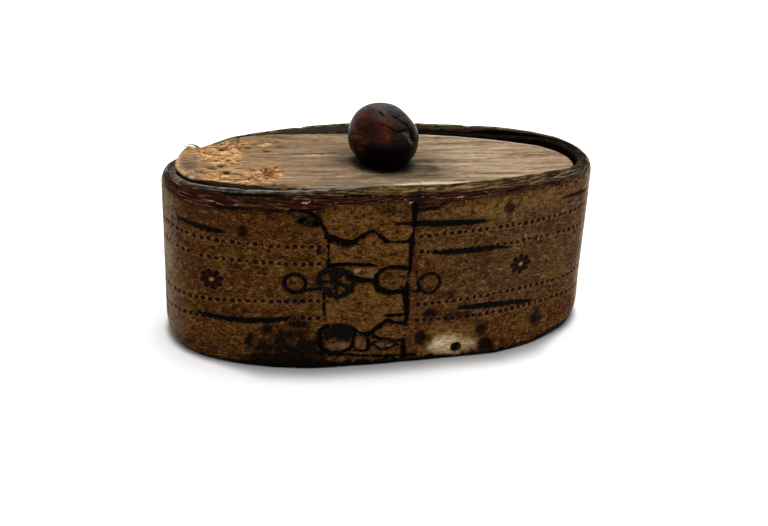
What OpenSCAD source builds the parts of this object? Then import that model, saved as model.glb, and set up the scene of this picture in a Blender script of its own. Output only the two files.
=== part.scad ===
// Oval birch-bark snuff box with a pegged bottom board and a drop-in wooden lid.
// The foot stands on z = 0 with the origin under the middle; the long axis is X and the front faces -Y.

/* [Box] */
// Overall length of the oval box
box_length = 90; // [76:1:120]
// Overall depth from front to back
box_depth = 42; // [38:1:54]
// Height of the wall from foot to rim
box_height = 36.5; // [32:0.5:48]
// Plan radius of the two rounded ends
end_radius = 14; // [10:0.5:16]

/* [Bark wall] */
// Thickness of the outer bark band
outer_bark = 1.5; // [1:0.1:2.2]
// Thickness of the inner bark band
inner_bark = 1.7; // [1:0.1:2.4]
// Rounding of the rim on both bands
rim_round = 0.9; // [0.3:0.1:2]
// Rounding of the worn foot
foot_round = 0.9; // [0.3:0.1:2]

/* [Lock joint] */
// Place of the slit that takes the tongue tips, from the front centre
slit_x = 0.9; // [-4:0.1:6]
// Lean of the slit over the height of the wall
slit_lean = 0.6; // [0:0.1:1.5]
// Length of the tongues from their roots to the slit
tongue_length = 16.4; // [14:0.1:19]
// Height of the edge under the top tongue
top_tongue_z = 27; // [25:0.5:29]
// Height of the edge under the second tongue
second_tongue_z = 22.5; // [22:0.1:24]
// Height of the upper shoulder of the bulb
bulb_top_z = 21.5; // [20.5:0.1:21.8]
// Height of the bulb from its lower to its upper shoulder
bulb_height = 5.4; // [4:0.1:6]
// Length of the bulb from the slit to its tip
bulb_length = 6.7; // [4:0.1:8]
// Height of the edge under the lowest large tongue
third_tongue_z = 10; // [8:0.1:12]
// Rise and fall of the wavy tongue edges
tongue_wave = 2.6; // [1:0.1:3]
// Width of the cuts around the tongues
joint_gap = 0.4; // [0.2:0.05:0.6]
// Length of the thin tongue tips tucked behind the slit
tip_length = 2.5; // [1:0.1:4]
// Thickness of the tucked tips
tip_bark = 0.6; // [0.3:0.1:0.7]
// Shoulder left on each tongue above and below its tip
tip_shoulder = 1; // [0.6:0.1:1.6]
// Clearance between the tucked tips and the inner band
tip_gap = 0.1; // [0.05:0.05:0.2]

/* [Bottom] */
// Thickness of the bottom board
bottom_thickness = 4.4; // [3.6:0.1:8]
// Diameter of the wooden pegs round the foot
peg_d = 2; // [1.4:0.1:2.4]
// Length of each peg
peg_length = 9; // [6:0.5:12]
// Depth of the peg heads under the face of the bark
peg_recess = 0.1; // [0.1:0.05:0.4]
// Place of the left front peg, from the front centre
left_peg_x = -23.5; // [-26:0.5:-19]
// Place of the right front peg, from the front centre
right_peg_x = 18.2; // [16:0.1:24]
// Place of the front hole that has lost its peg
empty_hole_x = 11.8; // [4:0.1:13]
// Spacing of the three pegs along the back
back_peg_pitch = 22; // [12:0.5:25]

/* [Lid] */
// Thickness of the lid board
lid_thickness = 6; // [4:0.5:9]
// Depth of the middle of the lid under the rim
lid_drop = 0.9; // [-1:0.1:3]
// Tilt of the lid in the mouth, left end up
lid_tilt = 2.1; // [0:0.1:3]
// Clearance between the lid and the mouth
lid_gap = 0.3; // [0.2:0.05:0.6]
// Bevel of the worn edges of the lid
lid_bevel = 0.6; // [0.2:0.1:1.2]

/* [Knob] */
// Diameter of the round knob
knob_d = 14.7; // [10:0.1:18]
// Height of the knob's middle above the lid
knob_rise = 5.5; // [3:0.1:7]
// Diameter of the dowel that holds the knob
dowel_d = 4.5; // [3:0.1:6]
// Reach of the dowel into the knob
dowel_reach = 6.5; // [4:0.1:8]

/* [Hidden] */
$fn = 64;

// The plan is a four-arc oval: two end arcs and two flatter side arcs that meet at shared tangents.
half_length = box_length / 2;
half_depth = box_depth / 2;
end_centre = half_length - end_radius;
// Direction in which the arcs meet, to a hundredth of a degree so that their ends match exactly
corner_angle = round(100 * (90 - 2 * atan((half_depth - end_radius) / end_centre))) / 100;
side_centre = end_centre * tan(corner_angle);
side_radius = end_radius + end_centre / cos(corner_angle);

wall = outer_bark + inner_bark;
outer_rim_round = min(rim_round, 0.9 * outer_bark);
inner_rim_round = min(rim_round, 0.9 * inner_bark);
peg_z = bottom_thickness / 2;
// The foot is rounded up to a little under the peg holes at most
outer_foot_round = min(foot_round, 0.9 * outer_bark, 0.8 * (peg_z - peg_d / 2));
// A tilted board needs a little less length than a level one
tilt_room = lid_thickness * sin(lid_tilt) / 2;
// Taken up to a thousandth of a millimetre, so that the lid's arcs match exactly
lid_inset = ceil(1000 * (wall + lid_gap + tilt_room)) / 1000;
bulb_low_z = bulb_top_z - bulb_height;
tongue_root_x = slit_x - tongue_length;
// Extra length by which a cutting shape passes the face that it cuts
over = 1;

// Oval plan helpers

// Moves a child in a coarse and a fine step, so that a long decimal keeps all its digits
module fine_move(v) {
    coarse = [for (length = v) round(length * 1000) / 1000];
    translate(coarse)
        translate(v - coarse)
            children();
}

// Turns a flat profile round one end of the oval; x = 0 of the profile is the outer face of the wall
module end_arc() {
    translate([end_centre, 0, 0])
        rotate_extrude(start = -corner_angle, angle = 2 * corner_angle)
            translate([end_radius, 0])
                children();
}

// Turns a flat profile along one side of the oval, likewise
module side_arc() {
    fine_move([0, -side_centre, 0])
        rotate_extrude(start = corner_angle, angle = 180 - 2 * corner_angle)
            fine_move([side_radius, 0])
                children();
}

// Sweeps a flat profile all round the oval
module sweep_oval() {
    for (turn = [0, 180])
        rotate(turn) {
            end_arc()
                children();
            side_arc()
                children();
        }
}

// Section of a board between two places, bevelled at the outer one
module board_section(inner, outer, thickness, bevel) {
    polygon([
        [inner, 0],
        [outer - bevel, 0],
        [outer, bevel],
        [outer, thickness - bevel],
        [outer - bevel, thickness],
        [inner, thickness]
    ]);
}

// Solid oval board, inset from the outer face of the wall, with its underside on z = 0
module oval_board(inset, thickness, bevel) {
    for (turn = [0, 180])
        rotate(turn) {
            translate([end_centre, 0, 0])
                rotate_extrude(start = -corner_angle, angle = 2 * corner_angle)
                    board_section(0, end_radius - inset, thickness, bevel);
            intersection() {
                side_arc()
                    board_section(-half_depth - over, -inset, thickness, bevel);
                translate([-box_length, 0, -over])
                    cube([2 * box_length, box_depth, thickness + 2 * over]);
            }
        }
}

// Square corner with a quarter circle left out, to round the corner that it is taken from
module corner_waste(r) {
    difference() {
        square(r + over);
        circle(r);
    }
}

// Part of the front wall between two places along it, two heights and two depths under its face
module front_block(x_from, x_to, z_from, z_to, depth_from, depth_to) {
    angle_from = asin(x_from / side_radius);
    angle_to = asin(x_to / side_radius);
    fine_move([0, side_centre, 0])
        rotate_extrude(start = 270 + angle_from, angle = angle_to - angle_from)
            fine_move([side_radius - depth_to, z_from])
                square([depth_to - depth_from, z_to - z_from]);
}

// Lock joint

// Point at share t between p1 and p2 of a smooth curve through four points
function curve_point(p0, p1, p2, p3, t) =
    0.5 * (2 * p1 + (p2 - p0) * t + (2 * p0 - 5 * p1 + 4 * p2 - p3) * t ^ 2
        + (3 * p1 - p0 - 3 * p2 + p3) * t ^ 3);

// Smooth path through a few points
function smooth_path(p, steps = 3) = let (last = len(p) - 1) concat(
    [for (i = [0 : last - 1], k = [0 : steps - 1])
        curve_point(p[max(i - 1, 0)], p[i], p[i + 1], p[min(i + 2, last)], k / steps)],
    [p[last]]
);

// Left-hand normal of the step from a to b
function step_normal(a, b) = let (d = (b - a) / norm(b - a)) [-d[1], d[0]];

// Mitred offset direction at point i of a path
function mitre(p, i) = let (
    last = len(p) - 1,
    n_in = step_normal(p[max(i - 1, 0)], p[max(i, 1)]),
    n_out = step_normal(p[min(i, last - 1)], p[min(i + 1, last)])
) (n_in + n_out) / (1 + n_in * n_out);

// Closed outline of a cut of even width along a path
function cut_outline(p, width) = concat(
    [for (i = [0 : len(p) - 1]) p[i] + mitre(p, i) * width / 2],
    [for (i = [len(p) - 1 : -1 : 0]) p[i] - mitre(p, i) * width / 2]
);

// Place of the leaning slit at height z
function slit_at(z) = slit_x - slit_lean / 2 + slit_lean * z / box_height;

// The slit runs from rim to foot and steps round the bulb of the right-hand end
function end_cut_path() = concat(
    [[slit_at(box_height + over), box_height + over]],
    [[slit_at(bulb_top_z), bulb_top_z]],
    smooth_path([
        [slit_x - bulb_length * 0.76, bulb_top_z],
        [slit_x - bulb_length * 0.96, bulb_top_z - bulb_height * 0.25],
        [slit_x - bulb_length, bulb_top_z - bulb_height * 0.5],
        [slit_x - bulb_length * 0.93, bulb_top_z - bulb_height * 0.8],
        [slit_x - bulb_length * 0.73, bulb_low_z]
    ]),
    [[slit_at(bulb_low_z), bulb_low_z]],
    [[slit_at(-over), -over]]
);

// Wavy edge under the top tongue, from the slit to the root
function top_edge_path() = smooth_path([
    [slit_at(top_tongue_z), top_tongue_z],
    [slit_x - tongue_length * 0.25, top_tongue_z],
    [slit_x - tongue_length * 0.45, top_tongue_z + tongue_wave],
    [slit_x - tongue_length * 0.57, top_tongue_z + tongue_wave * 0.7],
    [slit_x - tongue_length * 0.73, top_tongue_z - tongue_wave * 0.1],
    [tongue_root_x, top_tongue_z + tongue_wave * 0.6]
]);

// Straight edge under the second tongue, which stops short of the bulb
function second_edge_path() = [
    [slit_x - bulb_length * 1.03, second_tongue_z],
    [slit_x - tongue_length * 0.97, second_tongue_z]
];

// Edge from the bulb to the left, over the lowest large tongue
function neck_edge_path() = [
    [slit_x - bulb_length, bulb_top_z - bulb_height * 0.5],
    [slit_x - bulb_length * 1.57, bulb_top_z - bulb_height * 0.46],
    [slit_x - bulb_length * 1.7, bulb_top_z - bulb_height * 0.9]
];

// Pointed edge under the lowest large tongue
function third_edge_path() = smooth_path([
    [slit_at(third_tongue_z), third_tongue_z + tongue_wave * 0.4],
    [slit_x - tongue_length * 0.27, third_tongue_z],
    [slit_x - tongue_length * 0.43, third_tongue_z - tongue_wave],
    [slit_x - tongue_length * 0.55, third_tongue_z - tongue_wave * 1.1],
    [slit_x - tongue_length * 0.7, third_tongue_z - tongue_wave * 0.2],
    [tongue_root_x, third_tongue_z - tongue_wave * 0.1]
]);

// All cuts of the lock joint, driven straight back through the front wall
module joint_cuts() {
    for (path = [end_cut_path(), top_edge_path(), second_edge_path(), neck_edge_path(), third_edge_path()])
        rotate([90, 0, 0])
            linear_extrude(half_depth + over)
                polygon(cut_outline(path, joint_gap));
}

// Lower and upper height of each tucked tip, clear of the edges of its tongue
function tip_spans() = [
    [top_tongue_z + tip_shoulder, box_height - outer_rim_round - tip_shoulder],
    [bulb_top_z + tip_shoulder, top_tongue_z - tip_shoulder],
    [third_tongue_z + tongue_wave * 0.4 + tip_shoulder, bulb_low_z - tip_shoulder],
    [bottom_thickness + tip_shoulder, third_tongue_z - tip_shoulder]
];

// Thin tongue tips, which reach from inside the tongues to behind the slit
module tucked_tips() {
    for (span = tip_spans())
        front_block(
            slit_x - slit_lean - 2 * joint_gap, slit_x + tip_length,
            span[0], span[1],
            outer_bark - tip_bark, outer_bark - tip_gap
        );
}

// Pockets behind the slit that take the tips
module tip_pockets() {
    room = joint_gap / 2;
    for (span = tip_spans())
        front_block(
            slit_x - slit_lean / 2, slit_x + tip_length + room,
            span[0] - room, span[1] + room,
            outer_bark - tip_bark - room, outer_bark + over
        );
}

// Pegs

// Places a child at the wall's face on the front side, x along the wall, pointing inwards along +Z
module at_front(x) {
    fine_move([0, side_centre, peg_z])
        rotate(asin(x / side_radius))
            fine_move([0, -side_radius, 0])
                rotate([-90, 0, 0])
                    children();
}

// Places a child at the wall's face on the right-hand end, pointing inwards along +Z
module at_end() {
    translate([half_length, 0, peg_z])
        rotate([0, -90, 0])
            children();
}

// One child at the place of every peg that is left
module at_each_peg() {
    at_front(left_peg_x)
        children();
    at_front(right_peg_x)
        children();
    rotate(180)
        for (step = [-1, 0, 1])
            at_front(step * back_peg_pitch)
                children();
    for (turn = [0, 180])
        rotate(turn)
            at_end()
                children();
}

// One wooden peg, driven in from the face of the wall
module peg() {
    translate([0, 0, peg_recess])
        cylinder(d = peg_d, h = peg_length - peg_recess);
}

// Hole for one peg, open towards the outside
module peg_hole() {
    translate([0, 0, -over])
        cylinder(d = peg_d, h = peg_length + over);
}

// Every peg hole, with the one that is now empty
module peg_holes() {
    at_each_peg()
        peg_hole();
    at_front(empty_hole_x)
        peg_hole();
}

// Sub-parts

// Outer bark strip, bent round the box and locked to itself at the front
module outer_band() {
    color("peru") {
        difference() {
            sweep_oval()
                difference() {
                    translate([-outer_bark, 0])
                        square([outer_bark, box_height]);
                    translate([-outer_rim_round, box_height - outer_rim_round])
                        corner_waste(outer_rim_round);
                    translate([-outer_foot_round, outer_foot_round])
                        mirror([0, 1])
                            corner_waste(outer_foot_round);
                }
            joint_cuts();
            tip_pockets();
            peg_holes();
        }
        tucked_tips();
    }
}

// Inner bark ring, flush with the outer band at rim and foot
module inner_band() {
    color("sienna")
        difference() {
            sweep_oval()
                difference() {
                    translate([-wall, 0])
                        square([inner_bark, box_height]);
                    translate([inner_rim_round - wall, box_height - inner_rim_round])
                        mirror([1, 0])
                            corner_waste(inner_rim_round);
                }
            peg_holes();
        }
}

// Board that closes the foot, inside the inner band
module bottom_board() {
    color("burlywood")
        difference() {
            oval_board(wall, bottom_thickness, 0);
            peg_holes();
        }
}

// Wooden pegs through both bands into the bottom board
module bottom_pegs() {
    color("saddlebrown")
        at_each_peg()
            peg();
}

// Places a child in the lid's own frame, with z = 0 on its upper face
module on_lid() {
    translate([tilt_room, 0, box_height - lid_drop])
        rotate([0, lid_tilt, 0])
            children();
}

// Hole for the knob's dowel through the lid and into the knob
module dowel() {
    translate([0, 0, -lid_thickness])
        cylinder(d = dowel_d, h = lid_thickness + dowel_reach);
}

// Oval board that drops into the mouth of the box
module lid_board() {
    color("tan")
        on_lid()
            difference() {
                translate([0, 0, -lid_thickness])
                    oval_board(lid_inset, lid_thickness, lid_bevel);
                dowel();
            }
}

// Round knob, flat where it sits on the lid
module knob() {
    color("maroon")
        on_lid()
            difference() {
                translate([0, 0, knob_rise])
                    sphere(d = knob_d);
                translate([-knob_d, -knob_d, -knob_d])
                    cube([2 * knob_d, 2 * knob_d, knob_d]);
                dowel();
            }
}

// Dowel that joins the knob to the lid
module knob_dowel() {
    color("burlywood")
        on_lid()
            dowel();
}

outer_band();
inner_band();
bottom_board();
bottom_pegs();
lid_board();
knob();
knob_dowel();
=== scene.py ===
"""Oval birch-bark snuff box with a drop-in wooden lid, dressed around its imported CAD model."""
import math

import bpy
import numpy as np
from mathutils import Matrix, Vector


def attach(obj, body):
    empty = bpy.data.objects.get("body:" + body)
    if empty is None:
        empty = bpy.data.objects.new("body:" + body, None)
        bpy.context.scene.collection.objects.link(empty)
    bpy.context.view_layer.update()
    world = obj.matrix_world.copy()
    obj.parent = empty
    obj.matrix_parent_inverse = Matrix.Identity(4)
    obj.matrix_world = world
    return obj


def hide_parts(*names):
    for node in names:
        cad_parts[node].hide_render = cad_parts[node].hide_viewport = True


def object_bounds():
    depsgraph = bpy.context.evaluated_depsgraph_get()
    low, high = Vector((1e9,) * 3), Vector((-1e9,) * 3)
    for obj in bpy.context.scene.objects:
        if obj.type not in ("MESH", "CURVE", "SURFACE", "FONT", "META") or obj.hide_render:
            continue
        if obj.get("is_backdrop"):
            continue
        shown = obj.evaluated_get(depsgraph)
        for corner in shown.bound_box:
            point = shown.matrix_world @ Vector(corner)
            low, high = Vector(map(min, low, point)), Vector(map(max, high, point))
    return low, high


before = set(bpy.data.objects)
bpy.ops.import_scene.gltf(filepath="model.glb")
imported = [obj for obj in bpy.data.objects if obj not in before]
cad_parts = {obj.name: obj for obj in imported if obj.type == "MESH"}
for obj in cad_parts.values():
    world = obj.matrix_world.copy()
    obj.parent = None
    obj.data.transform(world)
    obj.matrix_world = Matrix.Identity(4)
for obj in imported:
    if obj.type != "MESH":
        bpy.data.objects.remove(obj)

CAD_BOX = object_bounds()
MM = 0.001

# Shape of the box in millimetres, as in the CAD source
HALF_LENGTH, HALF_DEPTH, END_RADIUS, HEIGHT = 45.0, 21.0, 14.0, 36.5
END_CENTRE = HALF_LENGTH - END_RADIUS
CORNER = math.radians(64.55)
SIDE_CENTRE = END_CENTRE * math.tan(CORNER)
SIDE_RADIUS = END_RADIUS + END_CENTRE / math.cos(CORNER)
HALF_SIDE = SIDE_RADIUS * (math.pi / 2 - CORNER)
END_ARC = 2 * END_RADIUS * CORNER
HALF_TURN = 2 * HALF_SIDE + END_ARC
OUTER_BARK, WALL = 1.5, 3.2
PEG_Z, PEG_RADIUS, PEG_LENGTH, PEG_RECESS = 2.2, 1.0, 9.0, 0.1
FRONT_PEGS_X, EMPTY_HOLE_X, BACK_PEGS_X = (-23.5, 18.2), 11.8, (-22.0, 22.0)
LID_THICKNESS, LID_INSET, LID_BEVEL, LID_TILT = 6.0, 3.61, 0.6, math.radians(2.1)
LID_ORIGIN = (0.11, 0.0, 35.6)
KNOB_RADIUS, KNOB_RISE, DOWEL_RADIUS = 7.35, 5.5, 2.25

FAR = 99.0


# Small helpers

def srgb(red, green, blue):
    """Linear colour with alpha from a colour as it shows on a screen, 0 to 255."""
    def linear(c):
        c /= 255
        return c / 12.92 if c <= 0.04045 else ((c + 0.055) / 1.055) ** 2.4
    return (linear(red), linear(green), linear(blue), 1.0)


def ease(value):
    """Smooth step from 0 to 1 as the value goes from 0 to 1."""
    t = np.clip(value, 0, 1)
    return t * t * (3 - 2 * t)


def lattice(ix, iy, iz, seed):
    """Repeatable value from -1 to 1 at each point of an integer lattice."""
    mask = 0xFFFFFFFF
    h = (ix * 73856093) ^ (iy * 19349663) ^ (iz * 83492791) ^ (seed * 40503 + 977)
    h = ((h & mask) ^ ((h & mask) >> 15)) * 2246822519 & mask
    h = (h ^ (h >> 13)) * 3266489917 & mask
    return ((h ^ (h >> 16)) & 0xFFFFFF) / 8388607.5 - 1.0


def noise(x, y, z, cell, seed, octaves=1):
    """Smooth noise from -1 to 1 with features of the given size in mm along x, y and z."""
    total, weight, size = 0.0, 0.0, 1.0
    for octave in range(octaves):
        low, part = [], []
        for value, width in zip((x, y, z), cell):
            scaled = np.asarray(value, float) / (width * size)
            whole = np.floor(scaled)
            low.append(whole.astype(np.int64))
            part.append(ease(scaled - whole))
        here = 0.0
        for corner in range(8):
            on = (corner & 1, corner >> 1 & 1, corner >> 2 & 1)
            share = 1.0
            for axis in range(3):
                share = share * (part[axis] if on[axis] else 1 - part[axis])
            here = here + share * lattice(*(low[a] + on[a] for a in range(3)), seed + 31 * octave)
        total, weight, size = total + here * size, weight + size, size / 2
    return total / weight


def fade(field, soft):
    """1 well inside a signed distance field, 0 well outside, smooth over the soft width."""
    return ease(0.5 - field / (2 * soft))


def least(fields):
    """Smallest of several fields at each point."""
    return np.minimum.reduce(list(fields))


def most(fields):
    """Largest of several fields at each point."""
    return np.maximum.reduce(list(fields))


def stroke(u, z, path):
    """Signed distance to a brush stroke through points (u, z, half width); negative inside it."""
    best = np.full(np.shape(u), FAR)
    for (u0, z0, h0), (u1, z1, h1) in zip(path, path[1:]):
        du, dz = u1 - u0, z1 - z0
        t = np.clip(((u - u0) * du + (z - z0) * dz) / (du * du + dz * dz), 0, 1)
        best = np.minimum(best, np.hypot(u - u0 - t * du, z - z0 - t * dz) - h0 - (h1 - h0) * t)
    return best


def nearest(u, z, paths):
    """Signed distance to the nearest of several strokes."""
    return least(stroke(u, z, path) for path in paths)


def line(u, z, points, half):
    """Signed distance to a line of even width through points (u, z)."""
    return stroke(u, z, [(*p, half) for p in points])


def region(u, z, outline):
    """Signed distance to a closed outline; negative inside it."""
    closed = list(outline) + [outline[0]]
    inside = np.zeros(np.shape(u), bool)
    for (u0, z0), (u1, z1) in zip(closed, closed[1:]):
        if z0 != z1:
            inside ^= ((z0 > z) != (z1 > z)) & (u < u0 + (u1 - u0) * (z - z0) / (z1 - z0))
    edge = line(u, z, closed, 0.0)
    return np.where(inside, -edge, edge)


def spot(u, z, centre, size):
    """Soft round spot, 1 in the middle and 0 at its rim, of half sizes in u and z."""
    return ease(1 - np.hypot((u - centre[0]) / size[0], (z - centre[1]) / size[1]))


def along(u, table):
    """Value at u of a table of points (u, value)."""
    return np.interp(u, [p[0] for p in table], [p[1] for p in table])


def spaced(low, high, step):
    """Even places from low up to but without high, about a step apart."""
    return np.linspace(low, high, max(1, round((high - low) / step)), endpoint=False)


def oval(u, inset=0.0):
    """Place (x, y) and outward normal on the oval at arc length u from the front centre, + to the right."""
    a = np.abs(u)
    front, end = a < HALF_SIDE, a < HALF_SIDE + END_ARC
    turn = np.where(front, a / SIDE_RADIUS, (HALF_TURN - a) / SIDE_RADIUS)
    swing = (a - HALF_SIDE) / END_RADIUS - CORNER
    side_ny = np.where(front, -np.cos(turn), np.cos(turn))
    on_end = end & ~front
    nx = np.where(on_end, np.cos(swing), np.sin(turn))
    ny = np.where(on_end, np.sin(swing), side_ny)
    cx = np.where(on_end, END_CENTRE, 0.0)
    cy = np.where(on_end, 0.0, np.where(front, SIDE_CENTRE, -SIDE_CENTRE))
    radius = np.where(on_end, END_RADIUS, SIDE_RADIUS) - inset
    way = np.where(np.asarray(u) < 0, -1.0, 1.0)
    return way * (cx + radius * nx), cy + radius * ny, way * nx, ny


def front_u(x):
    """Arc length on the front wall at a place x."""
    return SIDE_RADIUS * math.asin(x / SIDE_RADIUS)


def back_u(x):
    """Arc length on the back wall at a place x."""
    return math.copysign(HALF_TURN - SIDE_RADIUS * math.asin(abs(x) / SIDE_RADIUS), x)


def from_back(u):
    """Arc length from the back centre, + towards the right-hand end."""
    return np.where(u > 0, HALF_TURN - u, -HALF_TURN - u)


def short_way(du):
    """Difference of two arc lengths the shorter way round."""
    return (du + HALF_TURN) % (2 * HALF_TURN) - HALF_TURN


def on_lid(x, y, z):
    """Points of the lid's own tilted frame in the frame of the box."""
    c, s = math.cos(LID_TILT), math.sin(LID_TILT)
    return np.stack([LID_ORIGIN[0] + c * x + s * z, LID_ORIGIN[1] + y, LID_ORIGIN[2] - s * x + c * z], -1)


# Meshes

def rim_loop(nx, ny):
    """Grid places round the rim of an nx by ny block of cells, anticlockwise."""
    loop = [(i, 0) for i in range(nx)] + [(nx, j) for j in range(ny)]
    return loop + [(nx - i, ny) for i in range(nx)] + [(0, ny - j) for j in range(ny)]


def grid_quads(index, first=(0, 0), size=(0, 0)):
    """Quads of a grid of point numbers, left open over a block of cells."""
    quads = np.stack([index[:-1, :-1], index[1:, :-1], index[1:, 1:], index[:-1, 1:]], -1)
    keep = np.ones(quads.shape[:2], bool)
    keep[first[0]:first[0] + size[0], first[1]:first[1] + size[1]] = False
    return quads[keep]


def close_tube(faces, start, rings, sides):
    """Adds the quads between rings of points and the caps at both ends."""
    for ring in range(rings - 1):
        a, b = start + ring * sides, start + (ring + 1) * sides
        faces += [[a + i, a + (i + 1) % sides, b + (i + 1) % sides, b + i] for i in range(sides)]
    faces.append([start + i for i in reversed(range(sides))])
    faces.append([start + (rings - 1) * sides + i for i in range(sides)])


def make_piece(name, points, faces, material, values):
    """Smooth mesh object from points in mm, lists of corner numbers and named values per point."""
    counts = np.array([len(f) for f in faces], np.int32)
    corners = np.concatenate([np.asarray(f, np.int32) for f in faces])
    mesh = bpy.data.meshes.new(name)
    mesh.vertices.add(len(points))
    mesh.vertices.foreach_set("co", (np.asarray(points, float) * MM).astype(np.float32).ravel())
    mesh.loops.add(len(corners))
    mesh.loops.foreach_set("vertex_index", corners)
    mesh.polygons.add(len(counts))
    mesh.polygons.foreach_set("loop_start", np.concatenate([[0], np.cumsum(counts)[:-1]]).astype(np.int32))
    mesh.update(calc_edges=True)
    mesh.validate()
    mesh.polygons.foreach_set("use_smooth", np.ones(len(mesh.polygons), bool))
    for key, field in values.items():
        layer = mesh.attributes.new(key, "FLOAT", "POINT")
        layer.data.foreach_set("value", np.asarray(field, np.float32).ravel())
    mesh.materials.append(material)
    piece = bpy.data.objects.new(name, mesh)
    bpy.context.scene.collection.objects.link(piece)
    return piece


# Nodes

class Nodes:
    """Short ways to add shader nodes. A word stands for that value of the mesh, three numbers for a colour."""

    def __init__(self, tree):
        self.tree = tree

    def add(self, kind, **settings):
        """Adds a node with its settings."""
        node = self.tree.nodes.new(kind)
        for key, value in settings.items():
            setattr(node, key, value)
        return node

    def put(self, socket, value):
        """Links or sets one input."""
        if isinstance(value, str):
            value = self.add("ShaderNodeAttribute", attribute_name=value).outputs["Fac"]
        if isinstance(value, bpy.types.NodeSocket):
            self.tree.links.new(value, socket)
        else:
            socket.default_value = srgb(*value) if isinstance(value, tuple) else value

    def made(self, kind, output, inputs, **settings):
        """Adds a node, fills its inputs and returns one of its outputs."""
        node = self.add(kind, **settings)
        for key, value in inputs.items():
            self.put(node.inputs[key], value)
        return node.outputs[output]

    def noise(self, size, detail, rough, twist=0.0):
        """Noise with features of the given sizes in mm along the axes of the piece."""
        own = self.add("ShaderNodeTexCoord").outputs["Object"]
        place = self.made("ShaderNodeMapping", "Vector", {"Vector": own, "Scale": [1 / (MM * s) for s in size]})
        return self.made("ShaderNodeTexNoise", "Fac", {"Vector": place, "Scale": 1.0, "Detail": detail,
                                                       "Roughness": rough, "Distortion": twist})

    def math(self, operation, first, second=0.0):
        """Sum, difference and the like of two values."""
        return self.made("ShaderNodeMath", 0, {0: first, 1: second}, operation=operation)

    def times(self, first, second):
        """Product of two values."""
        return self.math("MULTIPLY", first, second)

    def mixed(self, *parts):
        """Sum of values (value, weight)."""
        total, *others = (self.times(value, weight) for value, weight in parts)
        for other in others:
            total = self.math("ADD", total, other)
        return total

    def span(self, value, low, high, to_low=0.0, to_high=1.0):
        """Smooth step of a value from one range to another."""
        return self.made("ShaderNodeMapRange", "Result", {"Value": value, "From Min": low, "From Max": high,
                                                          "To Min": to_low, "To Max": to_high},
                         interpolation_type="SMOOTHSTEP")

    def blend(self, share, first, second):
        """Mix of two colours."""
        return self.made("ShaderNodeMix", 2, {0: share, 6: first, 7: second}, data_type="RGBA")

    def ramp(self, value, *stops):
        """Colour ramp with stops (place, colour)."""
        node = self.add("ShaderNodeValToRGB")
        ramp = node.color_ramp
        while len(ramp.elements) < len(stops):
            ramp.elements.new(0.5)
        for element, (at, colour) in zip(ramp.elements, stops):
            element.position, element.color = at, srgb(*colour)
        self.put(node.inputs["Fac"], value)
        return node.outputs["Color"]

    def bump(self, height, strength, depth_mm, under=None):
        """Normal bent by a height of the given depth, on top of another normal if there is one."""
        inputs = {"Strength": strength, "Distance": depth_mm * MM, "Height": height}
        if under is not None:
            inputs["Normal"] = under
        return self.made("ShaderNodeBump", "Normal", inputs)

    def seen(self):
        """1 for what the camera sees, straight or in a gloss, and 0 for what only lights the scene."""
        path = self.add("ShaderNodeLightPath").outputs
        straight = self.math("MAXIMUM", path["Is Camera Ray"], path["Is Glossy Ray"])
        return self.math("MAXIMUM", straight, path["Is Transmission Ray"])


class Look(Nodes):
    """A Principled material whose colour is built up coat by coat."""

    def __init__(self, name, **plain):
        self.material = bpy.data.materials.new(name)
        self.material.use_nodes = True
        super().__init__(self.material.node_tree)
        self.shader = self.tree.nodes["Principled BSDF"]
        for key, value in plain.items():
            self.put(self.shader.inputs[key.replace("_", " ")], value)

    def coat(self, colour, share, *others):
        """Lays a colour over the one so far, by the product of the shares."""
        for other in others:
            share = self.times(share, other)
        self.colour = self.blend(share, self.colour, colour)

    def finish(self, roughness, normal):
        """Links the shader and returns the material."""
        for key, value in {"Base Color": self.colour, "Roughness": roughness, "Normal": normal}.items():
            self.put(self.shader.inputs[key], value)
        return self.material


# Features of the front wall, as (u, z) in mm, with half widths where three numbers stand

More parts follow.
